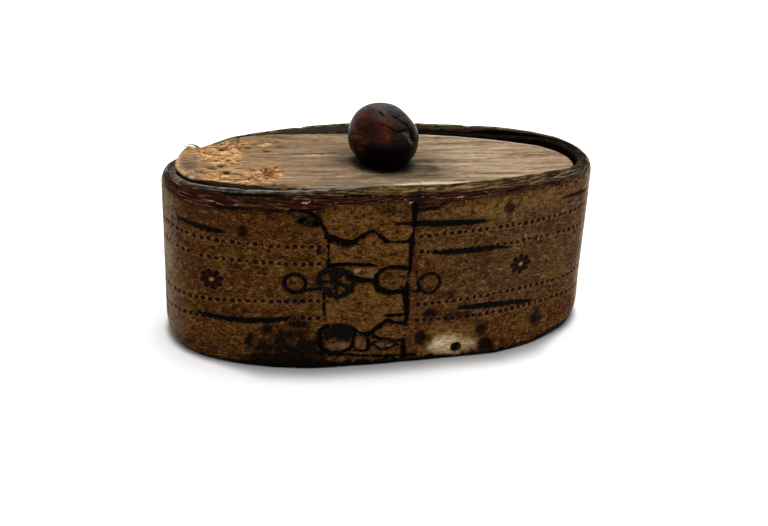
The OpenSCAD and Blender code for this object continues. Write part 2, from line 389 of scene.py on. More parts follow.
KNIFE_CUTS = {
    "slit": [(1.3, 35.0, 0.25), (1.35, 34.4, 0.62), (1.45, 33.2, 0.68), (1.5, 31.6, 0.5),
             (1.35, 29.2, 0.12), (1.2, 27.9, 0.4), (1.2, 26.9, 0.62), (1.1, 25.2, 0.4), (1.05, 23.6, 0.42),
             (1.1, 22.0, 0.36), (1.1, 20.9, 0.26), (0.8, 19.4, 0.08), (0.7, 17.8, 0.1), (0.6, 16.5, 0.6),
             (0.5, 14.9, 0.66), (0.8, 12.9, 0.6), (0.95, 10.6, 0.5), (0.8, 8.9, 0.34)],
    "foot_slit": [(0.4, 5.0, 0.34), (0.6, 3.2, 0.56), (0.6, 1.2, 0.5)],
    "upper_left": [(-22.6, 33.5, 0.12), (-20.7, 33.4, 0.2), (-18.8, 33.2, 0.22), (-16.9, 32.0, 0.36),
                   (-16.3, 30.5, 0.34), (-15.6, 29.2, 0.26)],
    "crust": [(-17.9, 31.2, 0.5), (-17.3, 30.8, 0.4)],
    "crust_left": [(-20.5, 31.5, 0.55), (-19.9, 31.9, 0.4)],
    "top_tongue": [(-15.5, 28.4, 0.5), (-14.0, 27.9, 0.7), (-12.5, 27.25, 0.66), (-10.3, 27.1, 0.56),
                   (-9.2, 28.1, 0.44), (-7.8, 29.1, 0.36), (-6.6, 29.6, 0.34), (-5.3, 28.5, 0.3),
                   (-4.1, 27.4, 0.34), (-2.8, 27.1, 0.26), (0.2, 27.0, 0.28), (1.1, 27.3, 0.4)],
    "upper_root": [(-15.2, 28.2, 0.3), (-15.2, 25.6, 0.16), (-15.1, 24.0, 0.22), (-15.1, 22.2, 0.34)],
    "lower_root": [(-15.8, 16.3, 0.3), (-15.8, 13.6, 0.22), (-15.5, 10.2, 0.26)],
    "second_tongue": [(-15.1, 22.2, 0.3), (-13.3, 22.5, 0.36), (-10.4, 22.5, 0.42), (-7.5, 22.3, 0.36),
                      (-5.6, 22.1, 0.16)],
    "bulb": [(1.2, 21.1, 0.36), (-1.8, 21.6, 0.38), (-3.6, 21.5, 0.44), (-4.8, 21.0, 0.5),
             (-5.6, 19.7, 0.46), (-5.7, 18.1, 0.6), (-5.0, 16.9, 0.66), (-3.3, 16.1, 0.6),
             (-1.3, 16.1, 0.44), (1.0, 16.2, 0.5)],
    "neck": [(-11.1, 20.1, 0.5), (-9.1, 19.1, 0.62), (-6.9, 18.9, 0.5), (-5.4, 18.3, 0.6)],
    "low_tongue": [(-10.0, 8.5, 0.3), (-8.7, 7.3, 0.34), (-7.0, 6.8, 0.66), (-5.7, 7.6, 0.5),
                   (-4.5, 8.8, 0.5), (-3.0, 9.7, 0.6), (-1.5, 9.3, 0.46), (0.9, 8.7, 0.4)],
    "lip": [(-3.6, 11.0, 0.24), (-1.6, 11.0, 0.34), (0.5, 11.0, 0.34)],
    "low_ring": [(-15.1, 9.1, 0.5), (-16.4, 7.9, 0.56), (-16.6, 5.9, 0.6), (-16.0, 4.2, 0.5),
                 (-14.4, 3.4, 0.3), (-12.1, 3.3, 0.26), (-10.4, 3.9, 0.3), (-9.8, 5.3, 0.36),
                 (-9.5, 7.3, 0.46)],
    "small_ring": [(-9.8, 5.9, 0.2), (-10.0, 4.7, 0.16), (-9.4, 3.6, 0.18), (-7.3, 3.2, 0.2),
                   (-6.6, 4.3, 0.3), (-6.9, 6.0, 0.3)],
    "eye_line": [(-5.9, 5.0, 0.2), (-3.9, 5.3, 0.12), (-0.5, 4.3, 0.14), (-2.3, 3.6, 0.14),
                 (-4.1, 3.4, 0.18), (-5.9, 4.6, 0.16)],
    "rung": [(-5.9, 6.4, 0.36), (-2.8, 5.5, 0.22), (0.0, 4.9, 0.24)],
    "strip": [(-17.4, 3.3, 0.3), (-12.9, 2.7, 0.26), (-8.3, 2.3, 0.28), (-3.5, 1.8, 0.2), (3.0, 1.5, 0.12)],
}
RINGS = [((-21.5, 18.3), 1.98, 0.37), ((5.15, 17.55), 2.2, 0.27)]
RING_STRETCH = 1.04
RING_TAILS = [
    [(-20.6, 16.4, 0.4), (-19.3, 16.9, 0.42), (-18.1, 17.1, 0.4), (-16.6, 17.3, 0.4)],
    [(2.3, 20.8, 0.1), (2.55, 19.3, 0.16), (2.85, 17.7, 0.3), (3.5, 16.2, 0.34), (4.6, 15.5, 0.26)],
    [(3.6, 15.9, 0.24), (1.0, 16.1, 0.16)],
]
LENTICELS = [
    [(-46.0, 29.6, 0.14), (-44.9, 29.2, 0.32), (-41.5, 28.8, 0.54), (-39.1, 28.6, 0.64),
     (-37.1, 28.3, 0.56), (-35.0, 28.1, 0.1)],
    [(-41.0, 9.8, 0.3), (-39.3, 9.6, 0.5), (-35.7, 9.4, 0.56), (-31.4, 9.4, 0.62), (-26.9, 9.8, 0.6),
     (-23.4, 10.5, 0.44), (-22.2, 11.0, 0.12)],
    [(-2.3, 31.0, 0.24), (1.2, 30.8, 0.56), (5.8, 30.4, 0.7), (11.8, 29.95, 0.62), (15.7, 29.7, 0.5),
     (17.1, 29.65, 0.14)],
    [(5.4, 24.3, 0.2), (8.0, 24.0, 0.54), (10.2, 23.9, 0.66), (14.5, 23.7, 0.62), (19.1, 23.5, 0.5),
     (23.2, 22.9, 0.1)],
    [(12.0, 11.1, 0.4), (15.0, 10.9, 0.54), (20.3, 10.4, 0.6), (26.1, 9.7, 0.54), (30.9, 9.1, 0.1)],
    [(35.6, 31.1, 0.12), (38.5, 31.2, 0.4), (42.0, 30.9, 0.4), (45.0, 30.6, 0.08)],
]
BACK_LENTICELS = [
    [(-30.0, 29.6, 0.08), (-24.0, 29.3, 0.5), (-17.0, 29.2, 0.4), (-13.0, 29.4, 0.08)],
    [(6.0, 18.4, 0.08), (12.0, 18.0, 0.5), (19.0, 18.2, 0.56), (25.0, 18.7, 0.1)],
    [(-14.0, 10.9, 0.1), (-8.0, 10.6, 0.48), (-1.0, 10.8, 0.4), (4.0, 11.1, 0.08)],
    [(28.0, 26.0, 0.08), (33.0, 25.8, 0.4), (38.0, 25.9, 0.08)],
    [(-44.0, 6.0, 0.08), (-38.0, 5.8, 0.44), (-33.0, 6.0, 0.08)],
]
ROSETTES = [(-38.1, 17.7, 0.2), (25.9, 18.5, 0.0)]
BACK_ROSETTES = [(-20.0, 18.2, 0.1), (20.0, 18.4, 0.3)]
PETALS, PETAL_SQUASH, ROSETTE_REACH = 8, 0.88, 3.4
# Both ends of a petal: distance from the middle and half width
PETAL_ENDS = ((0.95, 0.4), (1.95, 0.66))
# Rows of stamped dots round the wall: heights along u
DOT_ROWS = [
    [(-108, 27.0), (-60, 26.9), (-45, 26.7), (-35, 26.2), (-24, 26.1), (-16, 26.3), (7, 28.1), (15, 27.9),
     (27, 27.6), (45, 27.5), (108, 27.0)],
    [(-108, 23.2), (-60, 23.0), (-47, 22.9), (-34, 22.4), (-19, 22.5), (2.6, 24.6), (14, 24.2), (25, 23.8),
     (40, 23.4), (108, 23.2)],
    [(-108, 13.0), (-60, 12.9), (-49, 12.9), (-37, 13.4), (-28, 14.0), (-18, 14.7), (3, 12.9), (22, 13.0),
     (35, 12.5), (60, 12.8), (108, 13.0)],
    [(-108, 8.8), (-60, 8.6), (-49, 8.6), (-41, 9.4), (-31, 9.4), (-26, 9.7), (-21, 10.7), (-16, 10.9),
     (4, 9.4), (16, 8.8), (40, 8.4), (108, 8.8)],
]
DOT_PITCH, DOT_HALF = 1.54, 0.41
DOT_FREE = (-16.2, 2.4)
LARGE_DOT = (-17.0, 25.2, 0.58)
LEFT_CHAR = [(-17.5, 19.2), (-17.1, 21.0), (-15.7, 22.0), (-13.3, 22.2), (-11.0, 21.6), (-9.7, 20.1),
             (-9.5, 18.5), (-10.0, 16.7), (-11.5, 15.4), (-13.4, 14.9), (-15.3, 15.4), (-16.8, 16.8)]
LOW_CHAR = [(-16.0, 7.6), (-15.6, 5.8), (-14.4, 6.3), (-13.4, 6.6), (-12.2, 6.0), (-10.2, 5.6), (-9.4, 7.9),
            (-10.5, 9.4), (-12.5, 9.9), (-14.6, 9.6)]
BULB_INSIDE = [(-5.2, 20.8), (-3.6, 21.4), (0.9, 21.0), (0.9, 16.4), (-4.8, 16.6)]
NECK_BRIGHT = [(-10.3, 21.5), (-9.0, 21.7), (-8.8, 21.0), (-9.8, 20.7)]
TAN_PATCHES = [[(-8.5, 21.5), (-6.2, 21.5), (-6.1, 19.5), (-8.1, 19.5)],
               [(-15.0, 5.0), (-13.9, 5.5), (-11.9, 5.4), (-10.6, 4.7), (-12.1, 4.1), (-14.4, 4.1)],
               [(-9.6, 5.8), (-7.1, 5.8), (-6.9, 4.3), (-7.5, 3.5), (-9.3, 3.8), (-9.8, 4.7)],
               [(-5.7, 4.9), (-3.9, 5.2), (-0.7, 4.3), (-2.3, 3.7), (-4.1, 3.6)]]
CHIP_OUTLINE = [(5.7, 2.6), (6.3, 4.1), (7.8, 5.3), (10.2, 5.7), (12.5, 4.9), (15.6, 3.4), (15.9, 2.5),
                (14.4, 1.6), (12.8, 0.6), (9.3, 0.7), (7.3, 1.4)]
CHIP_CORE = ((9.0, 3.2), (6.0, 3.4))
CHIP_HALO = [(2.6, 3.2), (4.0, 6.6), (8.0, 8.2), (13.0, 7.4), (17.4, 5.0), (17.2, 1.0), (9.0, 0.4),
             (4.0, 1.2)]
OCHRE = [(2.4, 33.2), (12.0, 34.0), (30.0, 33.6), (40.0, 32.6), (34.0, 30.6), (20.0, 30.6), (8.0, 31.2),
         (2.6, 31.4)]
TORN_EDGE = [(-60.0, 35.4), (-50.0, 34.0), (-44.7, 33.0), (-37.0, 32.65), (-32.3, 32.6), (-28.1, 32.75),
             (-23.7, 32.9), (-20.0, 33.3), (-17.1, 33.0), (-16.0, 33.8), (-13.6, 34.5), (-8.9, 34.9),
             (-5.6, 35.2), (-0.3, 35.3), (1.8, 33.2), (2.6, 33.0), (3.5, 33.7), (7.3, 34.3), (9.9, 34.8),
             (15.2, 34.9), (25.1, 34.7), (35.0, 34.4), (44.0, 35.0), (56.0, 35.6)]
RIM_EDGE = [(-60, 35.3), (-48, 35.5), (-40, 35.9), (-29, 36.2), (-22, 36.5), (-14, 36.8), (-6, 36.5),
            (-2, 36.5), (2, 36.8), (10, 36.6), (15, 36.2), (24, 35.8), (34, 35.1), (44, 34.6), (60, 35.2)]
RIM_WARM = [(-18, 0.0), (-9, 0.7), (-4, 1.0), (8, 1.0), (20, 0.7), (32, 0.4), (42, 0.0)]
# Painted shadows: black lines under the torn flakes, (u, z, half width)
TORN_SHADOWS = [
    [(-38.5, 33.8, 0.05), (-37.2, 33.4, 0.2), (-35.6, 33.15, 0.36), (-32.6, 33.3, 0.42),
     (-30.8, 33.45, 0.16), (-28.6, 33.5, 0.06), (-26.8, 33.45, 0.24), (-25.0, 33.35, 0.3),
     (-23.2, 33.5, 0.08), (-21.2, 33.75, 0.2), (-18.4, 33.4, 0.26)],
    [(2.4, 33.2, 0.3), (4.1, 33.65, 0.36), (5.5, 33.7, 0.34), (6.5, 34.0, 0.3), (7.5, 34.45, 0.26),
     (8.7, 34.7, 0.2), (13.0, 34.75, 0.08)],
    [(-36.9, 35.9, 0.1), (-35.0, 35.7, 0.26), (-31.5, 35.9, 0.3), (-28.0, 36.0, 0.24), (-24.0, 36.2, 0.1)],
    [(-12.4, 36.6, 0.08), (-8.0, 36.7, 0.2), (-3.0, 36.5, 0.24), (-1.2, 36.4, 0.1)],
]
FLAKES = [
    [(-38.7, 34.2, 0.08), (-37.5, 34.17, 0.12), (-35.8, 33.7, 0.12), (-34.4, 33.7, 0.12),
     (-32.8, 33.8, 0.1), (-32.2, 34.05, 0.05)],
    [(-20.3, 35.2, 0.14), (-19.5, 35.1, 0.2), (-18.8, 35.5, 0.14)],
    [(-18.0, 35.5, 0.1), (-17.6, 35.45, 0.1)],
    [(-14.2, 35.45, 0.08), (-13.5, 35.35, 0.12)],
    [(-10.8, 35.75, 0.08), (-10.2, 35.95, 0.14), (-9.2, 35.95, 0.08)],
    [(-6.9, 36.4, 0.16), (-6.7, 36.4, 0.16)],
    [(-0.8, 35.95, 0.1), (-0.4, 35.5, 0.16), (0.25, 35.2, 0.2), (0.8, 35.0, 0.2), (1.3, 35.3, 0.08)],
    [(2.3, 35.75, 0.08), (3.1, 36.0, 0.14)],
    [(9.5, 35.4, 0.06), (10.4, 35.4, 0.14), (11.6, 35.5, 0.06)],
    [(16.2, 36.5, 0.06), (19.0, 36.4, 0.09), (21.8, 36.0, 0.06)],
    [(16.1, 35.8, 0.08), (16.7, 35.4, 0.14), (17.3, 35.35, 0.14), (17.9, 35.65, 0.06)],
]
# Stains: place, half sizes and strength
STAINS = [((-12.8, 5.0), (5.0, 4.6), 0.24), ((-8.0, 4.4), (3.4, 3.0), 0.12),
          ((-3.0, 3.2), (4.4, 2.6), 0.16), ((-17.6, 3.6), (3.6, 4.4), 1.0), ((-24.4, 4.4), (1.5, 4.2), 1.0),
          ((-18.9, 31.8), (3.4, 2.0), 1.0), ((-26.9, 1.6), (5.0, 2.8), 1.0), ((-20.8, 1.8), (6.0, 3.6),
          1.0), ((-22.0, 7.0), (7.0, 3.6), 0.3), ((-19.6, 3.6), (3.0, 3.0), 0.9), ((-27.4, 4.2),
          (3.4, 2.6), 0.6), ((-24.1, 5.8), (1.5, 3.4), 1.0), ((-19.9, 5.2), (1.5, 3.4), 0.9),
          ((-23.0, 4.0), (2.6, 2.6), 0.8), ((-30.2, 5.2), (1.7, 3.4), 0.5), ((-26.9, 8.0), (2.0, 1.8),
          0.6), ((-21.0, 10.0), (3.4, 2.4), 0.75), ((17.9, 2.2), (2.7, 2.5), 1.0), ((17.0, 5.6),
          (1.9, 2.6), 0.65), ((4.2, 5.2), (1.9, 2.6), 0.9), ((5.7, 10.2), (2.1, 2.5), 0.9), ((13.6, 9.2),
          (2.1, 1.5), 0.85), ((10.6, 9.0), (2.4, 1.8), 0.7), ((30.4, 5.5), (2.4, 2.8), 0.5), ((9.6, 14.7),
          (2.4, 1.2), 0.35), ((-31.6, 28.6), (1.3, 1.8), 0.7), ((-21.2, 14.4), (4.4, 1.0), 0.55),
          ((22.0, 31.6), (2.2, 2.0), 0.45), ((-3.0, 33.6), (6.0, 1.6), 0.3)]
LOOPS = [
    [(-32.5, 29.9), (-32.6, 28.4), (-32.0, 27.7), (-31.3, 28.3), (-31.2, 29.9)],
    [(-31.9, 29.6), (-31.8, 28.6)],
    [(-26.2, 29.3), (-26.1, 28.3), (-25.7, 27.8), (-25.2, 28.4), (-25.3, 29.2)],
    [(-26.4, 32.4), (-25.8, 31.5), (-25.1, 32.4)],
    [(-36.5, 30.1), (-36.4, 31.6)],
    [(22.0, 33.2), (20.8, 32.4), (20.9, 31.0), (22.3, 30.7), (23.0, 31.8)],
    [(24.6, 33.2), (23.8, 31.2)],
]
SCRATCHES = [
    [(31.8, 16.2), (35.9, 18.0), (39.8, 20.6)], [(33.9, 15.2), (38.9, 18.1), (42.1, 19.2)],
    [(14.8, 19.7), (18.9, 20.3)], [(-19.5, 24.2), (-16.8, 21.1)], [(12.0, 21.9), (17.6, 23.0)],
    [(30.0, 14.6), (37.0, 16.0)],
]
# Share of pale grey on the turned-away ends along u: partly wear and partly painted sheen
GREY_WEAR_AND_SHEEN = [(-92, 0.0), (-80, 0.12), (-70, 0.3), (-62, 0.52), (-57, 0.68), (-54, 0.72), (-50, 0.5),
             (-48, 0.28), (-46, 0.08), (-43, 0.0), (42, 0.0), (43, 0.1), (44.5, 0.42), (46, 0.8),
             (48, 1.0), (51, 0.95), (55, 0.72), (60, 0.5), (68, 0.28), (80, 0.1), (92, 0.0)]
# Dark lines along the foot, with half widths
FOOT_LINES = [
    ([(-52.0, 2.9), (-44.7, 2.8), (-37.6, 2.7), (-32.5, 2.1), (-29.9, 2.1)], 0.16),
    ([(24.0, 3.4), (26.2, 2.9), (33.8, 1.6), (39.0, 1.5), (46.0, 1.9), (52.0, 1.8)], 0.12),
    ([(-52.0, 2.4), (-48.2, 2.0), (-42.1, 1.8), (-36.1, 1.75), (-30.2, 1.7)], 0.14),
]
LOOP_HALF, SCRATCH_HALF = 0.22, 0.05
# Radius of the dark empty hole, and thickness of one torn layer
HOLE_DARK, LAYER = 1.06, 0.62

FINE_LEFT, FINE_RIGHT, FINE_STEP, COARSE_STEP = -58.0, 51.0, 0.27, 0.62
ROW_STEP, HOLE_ROWS = 0.25, 8
# Heights of the grid rows at the peg holes, and of the few rows between the two bands
HOLE_LOW, HOLE_HIGH = 1.2, 3.2
HOLE_Z = np.linspace(HOLE_LOW, HOLE_HIGH, HOLE_ROWS + 1)
HIDDEN_ROWS = (8.0, 16.0, 25.0, 32.0)
FOOT_ROWS = (0.0, 0.08, 0.25, 0.5, 0.85)
RIM_START, RIM_ROWS, MOST_WORN = 33.6, 12, 1.4
# Height from which the rim's rise begins, and the height it takes to come in full
LIFT_FROM, LIFT_OVER = 33.0, 2.2
# Top of the band's inner face: inset and drop below the rim
BAND_TOP = [(1.42, 0.03), (1.47, 0.12), (OUTER_BARK, 0.5), (OUTER_BARK, 0.9), (OUTER_BARK, 1.25)]
# Worn rim along u: its rounding inwards, and its rise above an even height
RIM_IN = [(-108, 0.35), (-76, 0.4), (-62, 1.0), (-46, 1.35), (46, 1.3), (60, 1.0), (76, 0.4), (108, 0.35)]
RIM_LIFT = [(-108, 0.4), (-98, 0.4), (-88, 0.3), (-78, 0.15), (-71, -0.75), (-64, -1.3), (-54, -0.8),
            (-44, -0.45), (-40, -0.25), (-34, -0.1), (-28, -0.04), (-24, 0.14), (-20, 0.42), (-14, 0.88),
            (-9, 1.3), (-4, 1.42), (2, 1.25), (8, 0.95), (13, 0.87), (17, 0.75), (22, 0.53), (26, 0.45),
            (30, 0.2), (34, -0.02), (42, -0.6), (54, -0.9), (64, -0.5), (76, -0.1), (90, -0.1), (100, 0.1),
            (108, 0.4)]
# How far the worn rim reaches down the band's inner face, along u
RIM_INNER = [(-108, 0.8), (-100, 0.05), (78, 0.05), (82, 0.5), (85, 0.9), (96, 1.0), (108, 0.8)]
# Foot along u: rounding inwards, its height, the outward spread of the wall, and the height of the painted shade
# along its lower edge
FOOT_IN = [(-108, 0.5), (-70, 1.0), (-54, 1.5), (-44, 1.2), (-32, 0.5), (0, 0.35), (30, 0.5), (42, 1.4),
           (54, 2.2), (66, 1.6), (80, 0.8), (108, 0.5)]
FOOT_RISE = [(-108, 1.2), (-70, 3.0), (-54, 5.0), (-44, 4.0), (-32, 1.4), (0, 0.9), (30, 1.4), (42, 4.0),
             (54, 6.0), (66, 4.0), (80, 2.0), (108, 1.2)]
FOOT_SPREAD = [(-50, 0.0), (-42, 0.5), (-34, 1.3), (-26, 1.7), (-18, 1.5), (-10, 0.5), (0, 0.0), (8, 0.3),
               (14, 1.05), (20, 2.1), (28, 2.1), (36, 1.3), (44, 0.4), (52, 0.0)]
SPREAD_TOP = 11.0
FOOT_SHADE = [(-60, 0.4), (-46, 0.6), (-36, 0.8), (-29, 1.6), (-22, 2.4), (-17, 2.0), (-8, 1.5), (0, 1.5),
             (6, 1.1), (17, 0.9), (26, 1.1), (34, 1.5), (45, 1.9), (52, 1.6), (60, 0.5)]
# Nicks in the rim: place along u or from the back centre, half width and depth
FRONT_NICKS = [(-31.5, 2.2, 0.3), (-20.0, 1.2, 0.25), (9.0, 1.6, 0.2), (31.0, 2.0, 0.25)]
BACK_NICKS = [(11.0, 1.4, 0.5), (-14.0, 1.4, 0.25), (24.0, 1.8, 0.3), (-27.0, 1.5, 0.06)]
LINER_STEP, LINER_ROWS, LINER_HIGH, LINER_LOW = 0.5, 52, 35.4, 4.0
# Top of the liner: inset and drop below the rim
LINER_TOP = [(OUTER_BARK, 0.5), (1.56, 0.14), (1.66, 0.02), (2.1, 0.0), (2.5, 0.0)]
LINER_ROUND = 0.45
# Along u: how far the liner's rim lies below the band's, and how much of its pale edge shows; where none shows,
# the rim keeps the black painted shade
LINER_DROP = [(-108, 1.4), (-82, 1.2), (-66, 0.3), (-50, 0.0), (50, 0.0), (64, 0.5), (78, 1.3), (108, 1.4)]
LINER_EDGE = [(-108, 0.02), (-96, 0.6), (-70, 0.9), (-50, 1.0), (36, 1.0), (44, 0.7), (52, 0.25),
              (60, 0.08), (78, 0.02), (108, 0.02)]
# Along u: share of the painted highlight on the inner edge of the liner's rim
LINER_LIP_HIGHLIGHT = [(-70, 0.0), (-62, 0.2), (-48, 0.6), (-40, 1.0), (-16, 1.0), (-6, 0.3), (2, 0.0)]


def dot_rows(u, z):
    """Signed distance to the rows of stamped dots, nearly square, a few of them rubbed."""
    best = np.full(u.shape, FAR)
    count = np.round(u / DOT_PITCH).astype(np.int64)
    for row, heights in enumerate(DOT_ROWS):
        fixed = np.full_like(count, row)
        push, lift, worn = (lattice(count, fixed, fixed, seed) for seed in (5, 6, 7))
        half = DOT_HALF * np.where(worn > 0.88, 0.6, 1.0) * (1 + 0.14 * push)
        du = np.abs(u - count * DOT_PITCH - 0.12 * push)
        dz = np.abs(z - along(u, heights) - 0.1 * lift)
        best = np.minimum(best, 0.75 * np.maximum(du, dz) + 0.25 * np.hypot(du, dz) - half)
    free = (u > DOT_FREE[0]) & (u < DOT_FREE[1])
    return np.where(free, FAR, best)


def rosette(u, z, centre):
    """Signed distance to a stamped rosette of broad petals about an open middle."""
    petals = []
    for k in range(PETALS):
        a = 2 * math.pi * k / PETALS + centre[2]
        petals.append([(reach * math.cos(a), reach * math.sin(a), half) for reach, half in PETAL_ENDS])
    return nearest(u - centre[0], (z - centre[1]) / PETAL_SQUASH, petals)


def stamped(u, z, rear):
    """Signed distance to the stamped ornament: rows of dots, one large dot and rosettes."""
    stamp = np.minimum(dot_rows(u, z), np.hypot(u - LARGE_DOT[0], z - LARGE_DOT[1]) - LARGE_DOT[2])
    for place, centres in ((u, ROSETTES), (rear, BACK_ROSETTES)):
        for centre in centres:
            away = np.hypot(place - centre[0], z - centre[1])
            stamp = np.where(away < ROSETTE_REACH, rosette(place, z, centre), stamp)
    return stamp


def ring_marks(u, z):
    """Signed distance to the two stamped rings and their tails."""
    ring = nearest(u, z, RING_TAILS)
    for centre, radius, half in RINGS:
        away = np.hypot((u - centre[0]) / RING_STRETCH, z - centre[1])
        ring = np.minimum(ring, np.abs(away - radius) - half)
    return ring


def burnt(u, z, rag, speck):
    """Mask of the charred and crusted patches beside the tongues, speckled inside."""
    blob = region(u, z, LEFT_CHAR) + 2.5 * rag
    inner = np.clip((-blob - 0.8) / 0.8, 0, 1)
    char = fade(blob, 0.16) * (1 - inner * 0.85 * np.clip(2.4 * speck - 0.1, 0, 1))
    char = np.maximum(char, fade(region(u, z, LOW_CHAR) + 2 * rag, 0.14) * (1 - 0.25 * (speck > 0.5)))
    bulb = fade(region(u, z, BULB_INSIDE) + rag, 0.4)
    return np.maximum(char, 0.85 * bulb * np.clip(0.1 + 2.6 * speck, 0, 1))


def bright_patches(u, z, rag):
    """Mask of the pale neck, the tan patches and the middles of the rosettes."""
    bright = fade(region(u, z, NECK_BRIGHT) + 3 * rag, 0.25)
    for outline in TAN_PATCHES:
        bright = np.maximum(bright, 0.2 * fade(region(u, z, outline) + 3 * rag, 0.3))
    for centre in ROSETTES:
        bright = np.maximum(bright, 0.8 * fade(np.hypot(u - centre[0], z - centre[1]) - 0.4, 0.16))
    return bright


def wall_marks(u, z, x, y):
    """Fields of the outer face: signed distances in mm and masks, and the depth of the relief."""
    rag = 0.11 * noise(x, y, z, (0.7, 0.7, 0.55), 11, 2)
    speck = noise(x, y, z, (0.75, 0.75, 0.75), 21, 2)
    rear = from_back(u)
    cut = nearest(u, z, KNIFE_CUTS.values()) + 1.8 * rag + 0.14 * noise(x, y, z, (2.0, 2.0, 1.6), 12, 2)
    cut = np.minimum(cut, np.hypot(u - front_u(EMPTY_HOLE_X), z - PEG_Z) - HOLE_DARK)
    vein = np.minimum(nearest(u, z, LENTICELS), nearest(rear, z, BACK_LENTICELS)) + 1.8 * rag
    ring = ring_marks(u, z) + 1.3 * rag
    stamp = stamped(u, z, rear) + 0.8 * rag
    loops = least(line(u, z, points, LOOP_HALF) for points in LOOPS) + 1.5 * rag
    scratch = least(line(u, z, points, SCRATCH_HALF) for points in SCRATCHES)
    worn_line = least(line(u, z, points, half) for points, half in FOOT_LINES) + rag
    char = burnt(u, z, rag, speck)
    stain = most(strength * spot(u, z, centre, size) for centre, size, strength in STAINS)
    stain = np.clip(stain * (2.7 + 2.2 * noise(x, y, z, (1.0, 1.0, 1.1), 23, 3)), 0, 1)

    ragged = 0.22 * noise(x, y, z * 0, (2.0, 2.0, 9.0), 31, 3)
    above = z - along(u, TORN_EDGE) - ragged
    torn = fade(-above, 0.3)
    rim = fade(along(u, RIM_EDGE) + ragged - z, 0.35)
    strata = above / LAYER + 0.8 * noise(x, y, z, (5, 5, 0.9), 33, 3)
    flake = nearest(u, z, FLAKES) + 0.6 * rag
    core = 0.62 + 0.6 * spot(u, z, *CHIP_CORE) + 0.35 * noise(x, y, z, (1.8, 1.8, 0.4), 54, 2)
    chip = fade(region(u, z, CHIP_OUTLINE) + 5 * rag + 0.2, 1.0) * np.clip(core, 0, 1)
    # Grey on the turned-away ends: partly wear, partly painted sheen
    grey = np.clip(along(u, GREY_WEAR_AND_SHEEN) * (0.8 + 0.6 * noise(x, y, z, (5, 5, 3), 41, 3)), 0, 1)

    grain = noise(x, y, z, (0.5, 0.5, 2.4), 51, 2)
    depth = 0.1 + 0.05 * noise(x, y, z, (11, 11, 8), 52, 2) + 0.03 * grain
    depth = depth + 0.6 * fade(cut, 0.16) + 0.12 * fade(vein, 0.16) + 0.2 * fade(ring, 0.14)
    depth = depth + 0.18 * fade(stamp, 0.12) + 0.07 * fade(loops, 0.16) + 0.08 * fade(scratch, 0.12)
    steps = 0.14 + 0.1 * np.clip(np.floor(strata), 0, 2) + 0.08 * (strata - np.floor(strata))
    depth = depth + torn * (1 - 0.7 * rim) * steps - 0.12 * fade(flake, 0.2) * torn
    depth = depth + 0.12 * char * (0.6 + 0.8 * speck) + 0.14 * fade(worn_line, 0.2)
    hollow = 0.22 + 0.08 * noise(x, y, z, (1.4, 1.4, 0.3), 53, 2)
    depth = depth + chip * hollow + 0.05 * stain * (1 + speck)
    torn_line = np.abs(above + 0.1) - 0.2 * np.clip(speck + 0.3, 0, 1) + 0.04 + rag
    torn_line = np.where(above > -1.2, torn_line, FAR)
    # Painted shadows under the torn flakes, counted with the black lines
    shadow = nearest(u, z, TORN_SHADOWS) + 1.6 * rag + 0.12 * noise(x, y, z, (2.2, 2.2, 0.8), 13, 2)
    marks = {"black": least([cut, vein, ring, torn_line, shadow]), "stamp": stamp, "char": char, "stain": stain,
             "torn": torn, "pale": chip, "flake": flake, "loops": loops, "grey": grey, "rim": rim,
             "scratch": np.minimum(scratch, worn_line), "neck": bright_patches(u, z, rag),
             "halo": fade(region(u, z, CHIP_HALO) + 9 * rag, 1.4),
             "ochre": fade(region(u, z, OCHRE) + 8 * rag, 1.6),
             # Painted shade along the foot's lower edge
             "foot": fade(z - along(u, FOOT_SHADE) - 4 * rag - 0.5 * speck, 0.4),
             # Share towards the right, used for painted light on the bark and painted shade on the band's inner
             # face
             "right": ease((x + 6.0) / 34.0) * ease((z - 3.0) / 12.0), "back": ease((y - 2.0) / 8.0),
             "gold": along(u, RIM_WARM), "joint": ease((u + 17.0) / 2.0) * ease((2.0 - u) / 2.0)}
    marks = {key: np.clip(field, -1.5, 1.5) for key, field in marks.items()}
    marks["strata"] = np.clip(strata, -2, 6)
    return marks, np.maximum(depth, 0.02)


# Rings with holes for the pegs

def peg_places():
    """Arc lengths of the pegs that are left, and then of the empty hole."""
    ends = HALF_SIDE + END_ARC / 2
    return [front_u(x) for x in FRONT_PEGS_X] + [back_u(x) for x in BACK_PEGS_X] + [
        HALF_TURN - 1e-6, -ends, ends, front_u(EMPTY_HOLE_X)]


def ring_faces(columns, rows, blocks, low, high):
    """Quads of a closed ring of profile rows, without the blocks, and the walls of the holes there.
    low and high are the first rows of the matching blocks on the outer and the inner face."""
    k, r = np.meshgrid(np.arange(columns), np.arange(rows), indexing="ij")
    k1, r1 = (k + 1) % columns, (r + 1) % rows
    quads = np.stack([k * rows + r, k1 * rows + r, k1 * rows + r1, k * rows + r1], -1)
    keep = np.ones((columns, rows), bool)
    walls = []
    for first, wide in blocks:
        span = (first + np.arange(wide)) % columns
        keep[span, low:low + HOLE_ROWS] = False
        keep[span, high:high + HOLE_ROWS] = False
        loop = rim_loop(wide, HOLE_ROWS)
        near = [((first + i) % columns) * rows + low + j for i, j in loop]
        deep = [((first + i) % columns) * rows + high + HOLE_ROWS - j for i, j in loop]
        for i in range(len(loop)):
            n = (i + 1) % len(loop)
            walls.append([near[i], near[n], deep[n], deep[i]])
    return list(quads[keep]) + walls


